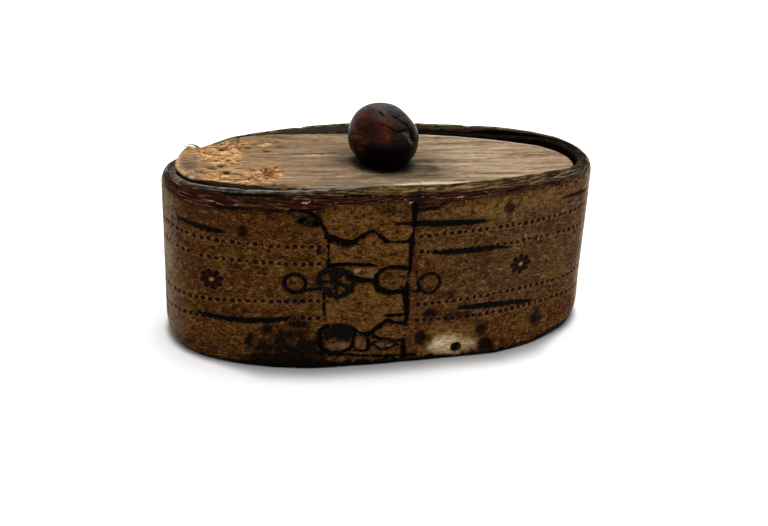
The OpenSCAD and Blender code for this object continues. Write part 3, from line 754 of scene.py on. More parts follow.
def round_hole(u, z, centre, left, right):
    """Moves the points about a square block of the grid so that its rim becomes a round hole."""
    middle = (left + right) / 2
    du = short_way(u - middle)
    a = du / ((right - left) / 2)
    b = (z - (HOLE_LOW + HOLE_HIGH) / 2) / ((HOLE_HIGH - HOLE_LOW) / 2)
    reach = np.maximum(np.abs(a), np.abs(b))
    length = np.maximum(np.hypot(a, b), 1e-9)
    pull = np.clip(2 - reach, 0, 1)
    to_u = PEG_RADIUS * reach * a / length - short_way(middle - centre) - du
    to_z = PEG_Z + PEG_RADIUS * reach * b / length - z
    return u + pull * to_u, z + pull * to_z


def ring_grid(us, profile):
    """Arc length and height of every grid point, with round holes, and the blocks of columns left open there."""
    u = np.repeat(us[:, None], len(profile), 1)
    z = np.repeat(np.array([p[1] for p in profile])[None], len(us), 0)
    face = np.array([p[2] for p in profile])[None] * np.ones_like(u) > 0
    steps = np.diff(us, append=us[0] + 2 * HALF_TURN)
    blocks = []
    for place in peg_places():
        middle = int(np.argmin(np.abs(short_way(us - place))))
        half = max(2, round(PEG_RADIUS / steps[middle]))
        first, wide = (middle - half) % len(us), 2 * half
        left = us[first]
        right = left + (us[(first + wide) % len(us)] - left) % (2 * HALF_TURN)
        moved_u, moved_z = round_hole(u, z, place, left, right)
        u, z = np.where(face, moved_u, u), np.where(face, moved_z, z)
        blocks.append((first, wide))
    return u, z, blocks


def rim_share(z):
    """Share of the rim's rise at a height z: 0 on the wall and 1 at the rim."""
    return ease((z - LIFT_FROM) / LIFT_OVER)


def worn_inset(u, z):
    """How far the worn foot and rim of the outer band lie inside its even wall at a height z."""
    rise = along(u, FOOT_RISE)
    low = np.clip((rise - z) / rise, 0, 1)
    high = np.clip((z - RIM_START) / (HEIGHT - RIM_START), 0, 1)
    foot, rim = 1 - np.sqrt(1 - low * low), 1 - np.sqrt(1 - high * high)
    return along(u, FOOT_IN) * foot + along(u, RIM_IN) * rim - along(u, FOOT_SPREAD) * ease(1 - z / SPREAD_TOP)


def rim_nicks(u):
    """Depth of small losses along the rim."""
    depth = np.zeros(np.shape(u))
    for places, nicks in ((from_back(u), BACK_NICKS), (u, FRONT_NICKS)):
        for place, width, deep in nicks:
            depth = np.maximum(depth, deep * np.clip(1 - np.abs(places - place) / width, 0, 1))
    return depth


def bark_band(material):
    """Outer bark strip with its lock joint, stamped and torn, worn and pierced for the pegs."""
    us = np.concatenate([spaced(-HALF_TURN, FINE_LEFT, COARSE_STEP), spaced(FINE_LEFT, FINE_RIGHT, FINE_STEP),
                         spaced(FINE_RIGHT, HALF_TURN, COARSE_STEP)])
    arc = np.linspace(0, math.pi / 2, RIM_ROWS + 1)
    low = len(FOOT_ROWS)
    profile = [(0.0, z, 0) for z in FOOT_ROWS] + [(0.0, z, 1) for z in HOLE_Z[:-1]]
    profile += [(0.0, z, 1) for z in spaced(HOLE_HIGH, RIM_START, ROW_STEP)]
    profile += [(0.0, RIM_START + (HEIGHT - RIM_START) * math.sin(a), 0) for a in arc]
    worn_rows = len(profile)
    profile += [(inset, HEIGHT - drop, 0) for inset, drop in BAND_TOP]
    profile += [(OUTER_BARK, z, 1) for z in HIDDEN_ROWS[::-1]]
    high = len(profile)
    profile += [(OUTER_BARK, z, 1) for z in HOLE_Z[::-1]] + [(OUTER_BARK, 0.0, 0)]
    u, z, blocks = ring_grid(us, profile)
    outer = np.arange(len(profile))[None] < worn_rows
    inset = np.where(outer, np.minimum(worn_inset(u, z), MOST_WORN), np.array([p[0] for p in profile])[None])
    x, y, _, _ = oval(u, inset)
    wear = 0.1 * (1 + noise(x, y, 0 * z, (4, 4, 4), 61, 3)) + rim_nicks(u)
    z = z + rim_share(z) * (along(u, RIM_LIFT) - wear)
    marks, depth = wall_marks(u, z, x, y)
    under_rim = HEIGHT - np.array([p[1] for p in profile])[None]
    # Band's inner face below the worn rim: near black on the right as painted shade, grey-brown on the left,
    # lightened there as painted light
    marks["inside"] = np.where(outer, 0.0, ease((under_rim - along(u, RIM_INNER)) / 0.3))
    room = np.clip((1.36 - inset) / 0.5, 0, 1)
    inset = np.where(outer, inset + np.minimum(depth, 1.2 - 0.6 * np.maximum(inset, 0)) * room, inset)
    x, y, _, _ = oval(u, inset)
    faces = ring_faces(len(us), len(profile), blocks, low, high)
    return make_piece("bark_band", np.stack([x, y, z], -1).reshape(-1, 3), faces, material, marks)


def bark_liner(material):
    """Inner bark ring: its worn rim beside the outer band, and its dark inside, painted black as shade just below
    the rim.
    """
    us = spaced(-HALF_TURN, HALF_TURN, LINER_STEP)
    low = 1
    profile = [(OUTER_BARK, 0.0, 0)] + [(OUTER_BARK, z, 1) for z in (*HOLE_Z, *HIDDEN_ROWS)]
    profile += [(inset, HEIGHT - drop, 0) for inset, drop in LINER_TOP]
    for a in np.radians([0, 30, 60, 90]):
        profile.append((WALL - LINER_ROUND * (1 - math.sin(a)), HEIGHT - LINER_ROUND * (1 - math.cos(a)), 0))
    rim_rows = len(profile)
    profile += [(WALL, z, 1) for z in np.linspace(LINER_HIGH, LINER_LOW, LINER_ROWS)]
    high = len(profile)
    profile += [(WALL, z, 1) for z in HOLE_Z[::-1]] + [(WALL, 0.0, 0)]
    u, z, blocks = ring_grid(us, profile)
    inset = np.repeat(np.array([p[0] for p in profile])[None], len(us), 0)
    x, y, _, _ = oval(u, inset)
    inner = (np.arange(len(profile))[None] >= rim_rows) & (z > 5.0)
    ripple = 0.05 * noise(x, y, z, (5, 5, 2.0), 71, 3) + 0.04 * noise(x, y, z, (1.2, 1.2, 6.0), 72, 2)
    inset = np.where(inner, inset - 0.06 - np.abs(ripple), inset)
    # Black painted shade on the inside just below the rim
    marks = {"rim": fade(HEIGHT - 0.35 - z, 0.3) * along(u, LINER_EDGE), "under_rim_shade": ease((z - 30.5) / 2.5),
             # Painted highlight along the rim's inner edge
             "lip": fade(2.6 - inset, 0.25) * along(u, LINER_LIP_HIGHLIGHT)}
    wear = 0.12 * (1 + noise(x, y, 0 * z, (3, 3, 3), 73, 3)) + 0.8 * rim_nicks(u) + along(u, LINER_DROP)
    z = z + rim_share(z) * (along(u, RIM_LIFT) - wear)
    x, y, _, _ = oval(u, inset)
    marks["right"] = ease((x + 17.0) / 14.0)
    faces = ring_faces(len(us), len(profile), blocks, low, high)
    return make_piece("bark_liner", np.stack([x, y, z], -1).reshape(-1, 3), faces, material, marks)


# Pegs

PEG_SIDES = 14
# Distance behind the head and share of the full radius
PEG_STATIONS = [(0.0, 0.55), (0.02, 0.82), (0.12, 0.93), (0.5, 0.97), (3.0, 0.97), (6.0, 0.92), (8.2, 0.84),
                (PEG_LENGTH - PEG_RECESS, 0.6)]


def whittled_pegs(material):
    """Seven whittled pegs with crushed heads, each driven in along the wall's normal."""
    points, faces, heads = [], [], []
    for number, place in enumerate(peg_places()[:-1]):
        x, y, nx, ny = (float(v) for v in oval(np.array(place)))
        proud = float(worn_inset(np.array(place), PEG_Z))
        start = len(points)
        for step, (back, size) in enumerate(PEG_STATIONS):
            for i in range(PEG_SIDES):
                a = 2 * math.pi * i / PEG_SIDES
                facet = float(lattice(*np.array([i // 2, number, step // 3]), 81))
                crush = float(lattice(*np.array([i, number, step]), 82))
                r = PEG_RADIUS * size * (1 - 0.035 * (facet + 1))
                dent = 0.06 * crush if step < 2 else 0
                deep = PEG_RECESS + 0.1 + back + dent + (proud if step < 4 else 0)
                points.append((x - nx * deep - ny * r * math.cos(a), y - ny * deep + nx * r * math.cos(a),
                               PEG_Z + r * math.sin(a)))
                heads.append(1.0 if step < 3 else 0.0)
        close_tube(faces, start, len(PEG_STATIONS), PEG_SIDES)
    return make_piece("whittled_pegs", points, faces, material, {"head": heads})


# Lid

LID_GRID = (300, 150)
LID_COARSE = 5
LID_HOLE_CELLS = (20, 20)
GNAWED = [(-39.6, 8.0), (-37.2, 11.0), (-33.5, 12.0), (-29.6, 11.0), (-28.4, 7.4), (-29.0, 3.4),
          (-30.2, -0.4), (-33.0, -1.2), (-35.4, 0.6), (-36.8, 3.4), (-38.2, 5.6)]
RAW_FLAKES = [
    [(-37.0, -7.7), (-35.7, -6.2), (-34.1, -5.9), (-32.4, -6.3), (-33.1, -7.3), (-35.3, -8.3),
     (-36.7, -8.3)],
    [(-33.6, -9.0), (-32.5, -8.7), (-29.1, -8.9), (-28.8, -9.6), (-29.7, -10.5), (-30.9, -11.0),
     (-32.4, -10.6)],
    [(-28.8, -9.6), (-27.5, -9.9), (-27.7, -11.2), (-28.5, -11.5), (-29.0, -10.6)],
    [(-29.6, 10.2), (-27.0, 10.9), (-25.0, 10.5), (-27.2, 9.6)],
    [(-24.8, 9.6), (-22.6, 10.2), (-21.4, 9.8), (-23.0, 9.1)],
]
GOUGE = [(-27.6, -3.9), (-26.8, -2.6), (-25.4, -2.1), (-23.5, -1.9), (-21.6, -0.8), (-21.3, -3.0),
         (-21.4, -4.9), (-22.6, -7.3), (-23.7, -9.3), (-25.5, -10.5), (-27.3, -9.6), (-27.9, -7.0)]
GOUGE_RAYS = [((-24.8, -4.3), (-22.0, -4.2)), ((-24.8, -5.0), (-22.3, -4.9)),
              ((-27.4, -3.5), (-26.2, -3.5)), ((-25.8, -3.3), (-25.1, -5.0)), ((-24.4, -4.5),
              (-21.5, -4.6)), ((-24.0, -3.7), (-21.7, -1.1)), ((-26.6, -6.7), (-25.0, -7.7)),
              ((-27.4, -9.1), (-26.7, -9.7)), ((-24.4, -6.4), (-23.2, -8.3)), ((-25.6, -5.6),
              (-27.2, -5.2)), ((-25.3, -5.2), (-24.6, -2.4)), ((-25.0, -6.0), (-23.0, -6.6))]
RAW_STRIP = [(-38.6, -3.0), (-34.0, -1.4), (-29.6, -2.6), (-27.4, -7.6), (-28.4, -11.0), (-33.0, -11.2),
             (-37.0, -8.4)]
# Pits: place and half sizes along and across the grain
LID_PITS = [(-26.7, 8.7, 0.6, 0.4), (-23.0, 6.7, 0.8, 0.5), (-30.4, 6.0, 0.9, 0.5), (-33.3, 5.4, 0.9, 0.4),
            (-32.9, 4.0, 0.7, 0.4), (-35.3, 3.5, 0.6, 0.4),
            (-28.8, 8.5, 0.5, 0.3), (-36.7, 8.1, 1.1, 0.3), (-31.7, 10.6, 0.7, 0.3),
            (-20.0, 8.8, 0.9, 0.2), (-31.4, 2.2, 0.5, 0.35), (-34.6, 6.9, 0.5, 0.3), (-32.2, 8.2, 0.6, 0.3)]
LID_GROOVES = [
    [(-34.2, -7.9, 0.15), (-33.2, -7.7, 0.3), (-32.3, -8.1, 0.34), (-30.6, -8.4, 0.38), (-29.2, -8.2, 0.34),
     (-28.5, -7.5, 0.25), (-27.5, -7.0, 0.12)],
    [(-34.4, -5.2, 0.1), (-33.4, -4.9, 0.3), (-32.6, -4.4, 0.2)],
    [(-32.8, -4.2, 0.15), (-31.8, -4.7, 0.4), (-30.9, -5.0, 0.35), (-30.0, -5.9, 0.12)],
    [(-38.1, -3.4, 0.3), (-37.0, -4.0, 0.4)],
    [(-36.0, -1.4, 0.25), (-34.9, -2.1, 0.4)],
    [(-33.6, -0.9, 0.25), (-33.0, -1.2, 0.25)],
    [(-28.2, 12.9, -0.08), (-28.6, 10.6, -0.02)],
    [(-36.4, 10.9, 0.16), (-34.0, 11.6, 0.24), (-31.9, 11.9, 0.12)],
]
# How much wider the grooves are, and half widths of the gouge's rays at their ends
GROOVE_WIDER, RAY_HALF = 0.18, (0.44, 0.2)
BROKEN_EDGE = [(-39.5, -8.2), (-37.3, -8.7), (-35.4, -8.8), (-33.7, -10.1), (-30.0, -11.4), (-28.0, -11.9),
               (-26.7, -10.9), (-24.2, -11.1), (-21.4, -11.9), (-19.6, -13.0), (-15.9, -13.9),
               (-15.9, -17.0), (-26.0, -17.0), (-36.0, -14.0)]
# Line of painted shade in the gap between the lid's front edge and the rim: x, y and half width
FRONT_GAP_SHADE = [(-31.0, -11.2, 0.4), (-28.0, -12.2, 0.6), (-24.3, -13.1, 0.65), (-21.0, -13.6, 0.5),
              (-15.0, -14.1, 0.38), (-10.0, -14.1, 0.38), (-4.0, -13.9, 0.3), (2.0, -13.4, 0.2)]
FRONT_GLEAM = [(-1.0, -12.6, 0.15), (3.4, -12.3, 0.35), (6.6, -12.1, 0.45), (12.8, -12.0, 0.4),
               (15.0, -11.7, 0.1)]
OLIVE_EDGE = [(-40.8, 5.2), (-39.6, 8.6), (-36.6, 11.8), (-36.2, 10.2), (-37.4, 7.6), (-38.4, 5.4)]
SMOOTH_PATCH = ((-39.4, -0.4), (2.7, 3.6))
KNOB_STAIN = ((6.0, -3.2), (12.5, 9.5))
UNDER_STAIN = ((0.0, -2.5), (8.0, 8.0))
SIDE_STAIN = ((-6.0, 3.0), (8.0, 6.5))
FRONT_LIGHT = ((-4.0, -13.5), (26.0, 7.0))
LID_LIP, FRONT_LOSS = 1.0, 1.5
# Swollen corner of the gnawed end: place, half sizes and height
END_SWELL = ((-39.4, 7.4), (5.2, 5.6), 0.95)
# Height of the warped back edge, along x
BACK_WARP = [(-38, 0.0), (-34, 0.5), (-30, 1.0), (-25, 1.15), (-21, 0.9), (-17, 0.55), (-10, 0.2),
             (-4, 0.0)]
# Steps down the lid's edge: outwards, down, and share of the overhang
LID_EDGE = [(0.22, -0.06, 1), (0.42, -0.2, 1), (0.55, -0.42, 1), (0.6, -0.62, 0), (0.6, -1.0, 0),
            (0.6, -1.8, 0), (0.6, -2.8, 0), (0.6, -4.0, 0), (0.6, -5.4, 0), (0.42, -5.82, 0),
            (0.0, -LID_THICKNESS, 0)]
# Depth down to which the edge follows the face, and inset of the coarse underside
EDGE_FOLLOW, UNDER_INSET = 1.2, 0.7
# Places of the slivers: middle, half sizes and number
SPLINTERS = [(-34.0, 6.0, 5.0, 5.0, 60), (-31.0, -9.2, 2.8, 1.4, 16), (-25.0, -4.8, 3.0, 3.0, 26),
             (-35.0, -6.4, 2.2, 1.2, 12), (-38.0, 8.4, 1.2, 1.0, 6), (-26.0, 9.8, 4.0, 0.8, 8)]
HAIR = [(-36.8, 9.4, -0.1), (-37.0, 10.0, -0.05), (-37.5, 10.6, 0.0), (-38.2, 10.9, 0.0),
        (-38.9, 11.0, -0.12), (-39.5, 11.0, -0.32)]
HAIR_RADIUS, STRAND_SIDES = 0.22, 5


def lid_lip(t):
    """Overhang of the frayed left end in the direction t, less the splinters lost along its front."""
    loss = ease((-np.sin(t) - 0.34) / 0.2) * ease((-np.cos(t) - 0.42) / 0.3)
    return LID_LIP * ease((-np.cos(t) - 0.58) / 0.24) - FRONT_LOSS * loss


def edge_gap(x, y):
    """Distance inwards from the lid's even edge."""
    ax, ay = np.abs(x), np.abs(y)
    end = END_RADIUS - np.hypot(ax - END_CENTRE, ay)
    side = SIDE_RADIUS - np.hypot(ax, ay + SIDE_CENTRE)
    return np.where(np.arctan2(ay + SIDE_CENTRE, ax) < CORNER, end, side) - LID_INSET


def lid_outline(t, inset):
    """Place and outward normal on the lid's oval in the direction t of an ellipse of its size."""
    ax, by = HALF_LENGTH - inset, HALF_DEPTH - inset
    dx, dy = np.abs(ax * np.cos(t)), np.abs(by * np.sin(t))
    end_r, side_r = END_RADIUS - inset, SIDE_RADIUS - inset
    corner = math.atan2(end_r * math.sin(CORNER), END_CENTRE + end_r * math.cos(CORNER))
    on_end = np.arctan2(dy, dx) < corner
    cx, cy = np.where(on_end, END_CENTRE, 0.0), np.where(on_end, 0.0, -SIDE_CENTRE)
    r = np.where(on_end, end_r, side_r)
    aa, bb, cc = dx * dx + dy * dy, dx * cx + dy * cy, cx * cx + cy * cy - r * r
    s = (bb + np.sqrt(np.maximum(bb * bb - aa * cc, 0))) / aa
    px, py = s * dx, s * dy
    nx, ny = (px - cx) / r, (py - cy) / r
    sx, sy = np.where(np.cos(t) < 0, -1, 1), np.where(np.sin(t) < 0, -1, 1)
    return sx * px, sy * py, sx * nx, sy * ny


def disc(a, b):
    """Distance from the middle and direction on a disc of a point (a, b) of a square, both from -1 to 1."""
    p, q = a * np.sqrt(1 - b * b / 2), b * np.sqrt(1 - a * a / 2)
    return np.hypot(p, q), np.arctan2(q, p)


def lid_plan(cells, inset, hang):
    """Grid of the lid's plan: a square grid drawn out to the oval, open under the knob for the dowel."""
    a, b = np.meshgrid(np.linspace(-1, 1, cells[0] + 1), np.linspace(-1, 1, cells[1] + 1), indexing="ij")
    reach, t = disc(a, b)
    bx, by, nx, ny = lid_outline(t, inset)
    lip = hang * lid_lip(t)
    x, y = reach * (bx + lip * nx), reach * (by + lip * ny)
    i, j = np.meshgrid(np.arange(cells[0] + 1), np.arange(cells[1] + 1), indexing="ij")
    share = cells[0] / LID_GRID[0]
    ha, hb = LID_HOLE_CELLS[0] * share / 2, LID_HOLE_CELLS[1] * share / 2
    m, n = (i - cells[0] / 2) / ha, (j - cells[1] / 2) / hb
    far = np.maximum(np.abs(m), np.abs(n))
    length = np.maximum(np.hypot(m, n), 1e-9)
    pull = np.clip((2.2 - far) / 1.2, 0, 1)
    x = x + pull * (DOWEL_RADIUS * far * m / length - x)
    y = y + pull * (DOWEL_RADIUS * far * n / length - y)
    return x, y


def wood(x, y, size, seed, octaves):
    """Noise on the lid's face with features of the given sizes along and across the grain."""
    return noise(x, y, np.zeros_like(x), (*size, 1), seed, octaves)


def lid_dents(x, y, rag):
    """Signed distances to the pits and grooves, and to the rays of the gouge."""
    pits = [(np.hypot((x - px) / length, (y - py) / width) - 1) * min(length, width)
            for px, py, length, width in LID_PITS]
    pits += [stroke(x, y, path) - GROOVE_WIDER for path in LID_GROOVES]
    rays = nearest(x, y, [[(*start, RAY_HALF[0]), (*end, RAY_HALF[1])] for start, end in GOUGE_RAYS])
    return least(pits) + 0.2 * rag, rays + 0.14 * rag


def lid_tints(x, y, rag):
    """Masks of the lid's stains, tones and lines, with its painted shade, painted highlights and painted light.
    """
    gap = edge_gap(x, y)
    round_knob = spot(x, y, *KNOB_STAIN) * np.clip(1.0 + 0.9 * wood(x, y, (4.0, 1.6), 105, 3), 0, 1.4)
    stain = most([1.25 * round_knob, 1.3 * spot(x, y, *UNDER_STAIN), 0.8 * spot(x, y, *SIDE_STAIN)])
    back_gleam = 0.6 * fade(gap - 1.1, 0.3) * ease((y - 6.0) / 3.0) * ease((x - 2.0) / 6.0)
    warm = ease((-14.0 - x + 3 * wood(x, y, (5, 2.4), 107, 3)) / 16.0)
    speckle = np.clip((wood(x, y, (0.9, 0.6), 108, 3) - 0.32) / 0.16, 0, 1)
    return {"stain": np.clip(stain, 0, 1), "warm": warm,
            "patch": np.clip(1.5 * spot(x, y, *SMOOTH_PATCH) + 0.25 * rag, 0, 1),
            # Painted shade in the gap along the front edge
            "line": fade(stroke(x, y, FRONT_GAP_SHADE) + 0.3 * rag, 0.2),
            "gleam": np.maximum(fade(stroke(x, y, FRONT_GLEAM) + 0.3 * rag, 0.3), back_gleam),
            "olive": fade(region(x, y, OLIVE_EDGE) + 0.8 * rag, 0.5),
            "cream": fade(gap + 0.2 + 0.3 * rag, 0.35) * ease((-37.0 - x) / 3.0),
            # Lighter towards the right: painted light
            "front": spot(x, y, *FRONT_LIGHT), "light": np.clip((x + 4) / 34, 0, 1),
            "speckle": speckle * warm * fade(gap + 0.5 * rag - 6.0, 4.0),
            # Painted contact shadow round the knob's foot
            "knob_contact_shade": fade(np.hypot((x - KNOB_SHIFT) / 1.05, y + 0.8) - 6.2 + 0.5 * rag, 1.0)}


def lid_marks(x, y):
    """Relief of the lid's upper face in mm, + upwards, and its masks."""
    rag = wood(x, y, (0.9, 0.5), 101, 2)
    chew = wood(x, y, (2.1, 0.9), 103, 3)
    fibre = wood(x, y, (3.0, 0.34), 102, 3)
    gnawed = fade(region(x, y, GNAWED) + 1.3 * rag, 0.8)
    strip = fade(region(x, y, RAW_STRIP) + 1.2 * rag, 0.9)
    flake = fade(least(region(x, y, outline) for outline in RAW_FLAKES) + 0.6 * rag, 0.2)
    crater = fade(region(x, y, GOUGE) + 0.9 * rag, 0.35)
    pit, rays = lid_dents(x, y, rag)
    crack = gnawed * np.clip((-0.32 - chew) / 0.12, 0, 1) + strip * np.clip((-0.36 - fibre) / 0.12, 0, 1)
    crack = np.clip(crack, 0, 1) * (1 - 0.85 * flake)
    broken = fade(region(x, y, BROKEN_EDGE) + 0.7 * rag, 0.5) * (1 - flake)
    grain, sag = wood(x, y, (22.0, 0.55), 104, 3), wood(x, y, (26.0, 12.0), 106, 1)
    height = -0.1 + 0.05 * grain * (1 - gnawed) + 0.06 * sag
    height = height - gnawed * (0.26 + 0.26 * chew + 0.12 * fibre) - strip * (0.14 + 0.2 * fibre)
    height = height + flake * (0.1 + 0.14 * fibre) - 0.75 * fade(pit, 0.22) - 0.25 * crack
    height = height - crater * (0.14 + 0.16 * chew) - 0.5 * fade(rays, 0.16) - 0.4 * broken * (1 + rag)
    centre, size, swell = END_SWELL
    height = np.minimum(height, 0) + swell * spot(x, y, centre, size)
    height = height + along(x, BACK_WARP) * ease((y - 8.0) / 5.5)
    raw = most([gnawed * (1.0 + 0.6 * chew), flake, crater, strip * (0.5 + 0.6 * fibre)])
    dark = most([fade(pit, 0.14), 0.95 * fade(rays, 0.12), crack])
    return height, {"raw": np.clip(raw, 0, 1), "pit": dark, "broken": broken, "gouge": crater,
                    **lid_tints(x, y, rag)}


def edge_rings(loop, height):
    """Rings of points down the lid's edge, each with its share of the face's marks and its own shades."""
    i, j = np.array(loop).T
    _, t = disc(2 * i / LID_GRID[0] - 1, 2 * j / LID_GRID[1] - 1)
    x, y, out_x, out_y = lid_outline(t, LID_INSET + LID_BEVEL)
    drop, lip = height[i, j], lid_lip(t)
    for out, down, hang in LID_EDGE:
        follow = max(0.0, 1 + down / EDGE_FOLLOW)
        rough = 0.05 * noise(x, y, np.full_like(x, down), (7.0, 7.0, 0.5), 111, 3)
        bite = 0.35 * np.clip(-drop - 0.15, 0, 0.8) * follow
        push = np.minimum(out - 0.03 + (rough - 0.05) * (out > 0.3) - bite, LID_BEVEL) + hang * lip
        z = np.maximum(down + drop * follow, -LID_THICKNESS)
        shades = {"side": min(1.0, -down / 0.5) * (1 - 0.85 * hang * np.clip(lip, 0, 1)),
                  "deep": np.full(len(loop), float(ease((-down - 1.2) / 1.5)))}
        yield on_lid(x + out_x * push, y + out_y * push, z), follow, shades


def seam(coarse, fine):
    """Faces between a loop of points and one with LID_COARSE times as many."""
    faces = []
    for n in range(len(coarse)):
        beside = [fine[(LID_COARSE * n + k) % len(fine)] for k in range(LID_COARSE + 1)]
        faces.append([coarse[n], coarse[(n + 1) % len(coarse)]] + beside[::-1])
    return faces


def bored_grid(start, cells, bore):
    """Point numbers of a grid of cells, its quads without the bore, and the loop of points round the bore."""
    index = start + np.arange((cells[0] + 1) * (cells[1] + 1)).reshape(cells[0] + 1, cells[1] + 1)
    first = (cells[0] - bore[0]) // 2, (cells[1] - bore[1]) // 2
    return index, grid_quads(index, first, bore), [index[first[0] + i, first[1] + j] for i, j in rim_loop(*bore)]


def used_points(points, faces, values):
    """The points that faces use, the faces with the new numbers and the values of those points."""
    used = np.zeros(len(points), bool)
    used[np.concatenate([np.asarray(f) for f in faces])] = True
    number = np.cumsum(used) - 1
    return points[used], [[int(number[c]) for c in f] for f in faces], {k: v[used] for k, v in values.items()}


def lid_plank(material):
    """Weathered lid board: open grain, a gnawed left end, worn edges and a bore for the dowel."""
    x, y = lid_plan(LID_GRID, LID_INSET + LID_BEVEL, 1.0)
    height, marks = lid_marks(x, y)
    top = {key: field.ravel() for key, field in marks.items()}
    index, quads, upper = bored_grid(0, LID_GRID, LID_HOLE_CELLS)
    points, faces = [on_lid(x, y, height).reshape(-1, 3)], list(quads)
    values = [{**top, "side": np.zeros(x.size), "deep": np.zeros(x.size)}]
    loop = rim_loop(*LID_GRID)
    rim = before = np.array([index[place] for place in loop])
    total = x.size
    for ring, follow, shades in edge_rings(loop, height):
        points.append(ring)
        values.append({**{key: field[rim] * follow for key, field in top.items()}, **shades})
        here = total + np.arange(len(loop))
        faces += list(np.stack([here, np.roll(here, -1), np.roll(before, -1), before], -1))
        total, before = total + len(loop), here

    small, small_bore = (tuple(n // LID_COARSE for n in cells) for cells in (LID_GRID, LID_HOLE_CELLS))
    x, y = lid_plan(small, LID_INSET + LID_BEVEL + UNDER_INSET, 0.0)
    under = -LID_THICKNESS + 0.02 * (1 + wood(x, y, (9, 0.9), 112, 2))
    points.append(on_lid(x, y, under).reshape(-1, 3))
    values.append({**dict.fromkeys(top, np.zeros(x.size)), "side": np.ones(x.size), "deep": np.ones(x.size)})
    coarse, quads, lower = bored_grid(total, small, small_bore)
    faces += list(quads[:, [0, 3, 2, 1]])
    faces += seam([coarse[place] for place in rim_loop(*small)], before)
    faces += [face[::-1] for face in seam(lower, upper)]
    joined = {key: np.concatenate([part[key] for part in values]) for key in values[0]}
    points, faces, joined = used_points(np.concatenate(points), faces, joined)
    return make_piece("lid_plank", points, faces, material, joined)


def tube(points, faces, path, radius):
    """Adds a thin tapered strand along a path, with closed ends."""
    start, last = len(points), len(path) - 1
    for n, p in enumerate(path):
        way = path[min(n + 1, last)] - path[max(n - 1, 0)]
        way = way / np.linalg.norm(way)
        side = np.cross(way, (0.0, 0.3, 1.0))
        side = side / np.linalg.norm(side)
        up = np.cross(side, way)
        r = radius * (1 - 0.75 * n / last)
        for i in range(STRAND_SIDES):
            a = 2 * math.pi * i / STRAND_SIDES
            points.append(p + r * (math.cos(a) * side * 1.6 + math.sin(a) * up * 0.7))
    close_tube(faces, start, len(path), STRAND_SIDES)


def lid_splinters(material):
    """Loose fibres of the gnawed end: short curled slivers and one long hair over the rim."""
    rng = np.random.default_rng(7)
    points, faces = [], []
    reach = np.linspace(0, 1, 5)
    for cx, cy, rx, ry, count in SPLINTERS:
        for _ in range(count):
            x, y = cx + rx * rng.uniform(-1, 1), cy + ry * rng.uniform(-1, 1)
            length, turn = rng.uniform(0.8, 2.2), rng.normal(0, 0.35)
            lift = rng.uniform(0.1, 0.55)
            base = lid_marks(np.array([x]), np.array([y]))[0][0] - 0.06
            way = rng.choice([-1, 1])
            px = x + way * length * reach * math.cos(turn)
            py = y + length * reach * math.sin(turn)
            tube(points, faces, on_lid(px, py, base + lift * reach ** 1.6), rng.uniform(0.07, 0.16))
    slivers = len(points)
    tube(points, faces, on_lid(*np.array(HAIR).T), HAIR_RADIUS)
    dark = [0.0] * slivers + [1.0] * (len(points) - slivers)
    return make_piece("lid_splinters", points, faces, material, {"hair": dark})


# Knob

KNOB_CELLS, KNOB_NOISE = 52, 7
KNOB_SHIFT, KNOB_SINK = -0.3, 0.6
KNOB_SWELL = ((-128, 40), 0.07)
KNOB_FLATS = [((99, 40), 6.75), ((-81, -40), 6.75), ((60, -30), 7.3), ((150, 20), 6.95), ((0, 88), 6.7),
              ((40, 52), 7.2), ((100, 10), 7.1), ((-160, -20), 6.9), ((-30, -20), 7.0)]
KNOB_CRACKS = [
    [(-51, 67, 0.08), (-38, 64, 0.2), (-27, 60, 0.22), (-18, 58, 0.06)],
    [(-20, 42, 0.14), (-8, 39, 0.12), (-2, 36, 0.12), (3, 32, 0.14), (10, 29, 0.16), (21, 31, 0.22),
     (35, 31, 0.3)],
    [(6, 64, 0.08), (14, 57, 0.14), (25, 51, 0.16), (34, 45, 0.24), (40, 37, 0.34), (41, 30, 0.44),
     (41, 20, 0.42), (45, 10, 0.24)],
    [(-80, 12, 0.05), (-60, 16, 0.08), (-44, 15, 0.06)],
    [(-17, 24, 0.04), (0, 27, 0.08), (16, 28, 0.06)],
    [(120, 50, 0.05), (132, 30, 0.18), (128, 5, 0.1)],
    [(-150, 20, 0.05), (-170, 12, 0.16), (170, 2, 0.08)],
]
KNOB_CHIP = [(25, 27, 0.24), (31, 21, 0.42), (35, 14, 0.4), (41, 8, 0.26)]
KNOB_RED = [((-25, 28), 0.6), ((-47, 18), 0.66), ((-70, 30), 0.6), ((-60, 2), 0.5), ((-10, 32), 0.3),
            ((150, 10), 0.6)]


def heading(lon, lat):
    """Unit vector from the knob's middle; longitude 0 faces the front, + to the right."""
    lon, lat = math.radians(lon), math.radians(lat)
    return np.array([math.sin(lon) * math.cos(lat), -math.cos(lon) * math.cos(lat), math.sin(lat)])


def ball_stroke(n, path):
    """Signed distance in mm on the knob's ball to a stroke through (longitude, latitude, half width)."""
    best = np.full(n.shape[:-1], FAR)
    for (lon0, lat0, h0), (lon1, lat1, h1) in zip(path, path[1:]):
        a, b = heading(lon0, lat0), heading(lon1, lat1)
        d = b - a
        t = np.clip(((n - a) @ d) / (d @ d), 0, 1)
        near = a + t[..., None] * d
        best = np.minimum(best, KNOB_RADIUS * np.linalg.norm(n - near, axis=-1) - h0 - (h1 - h0) * t)
    return best


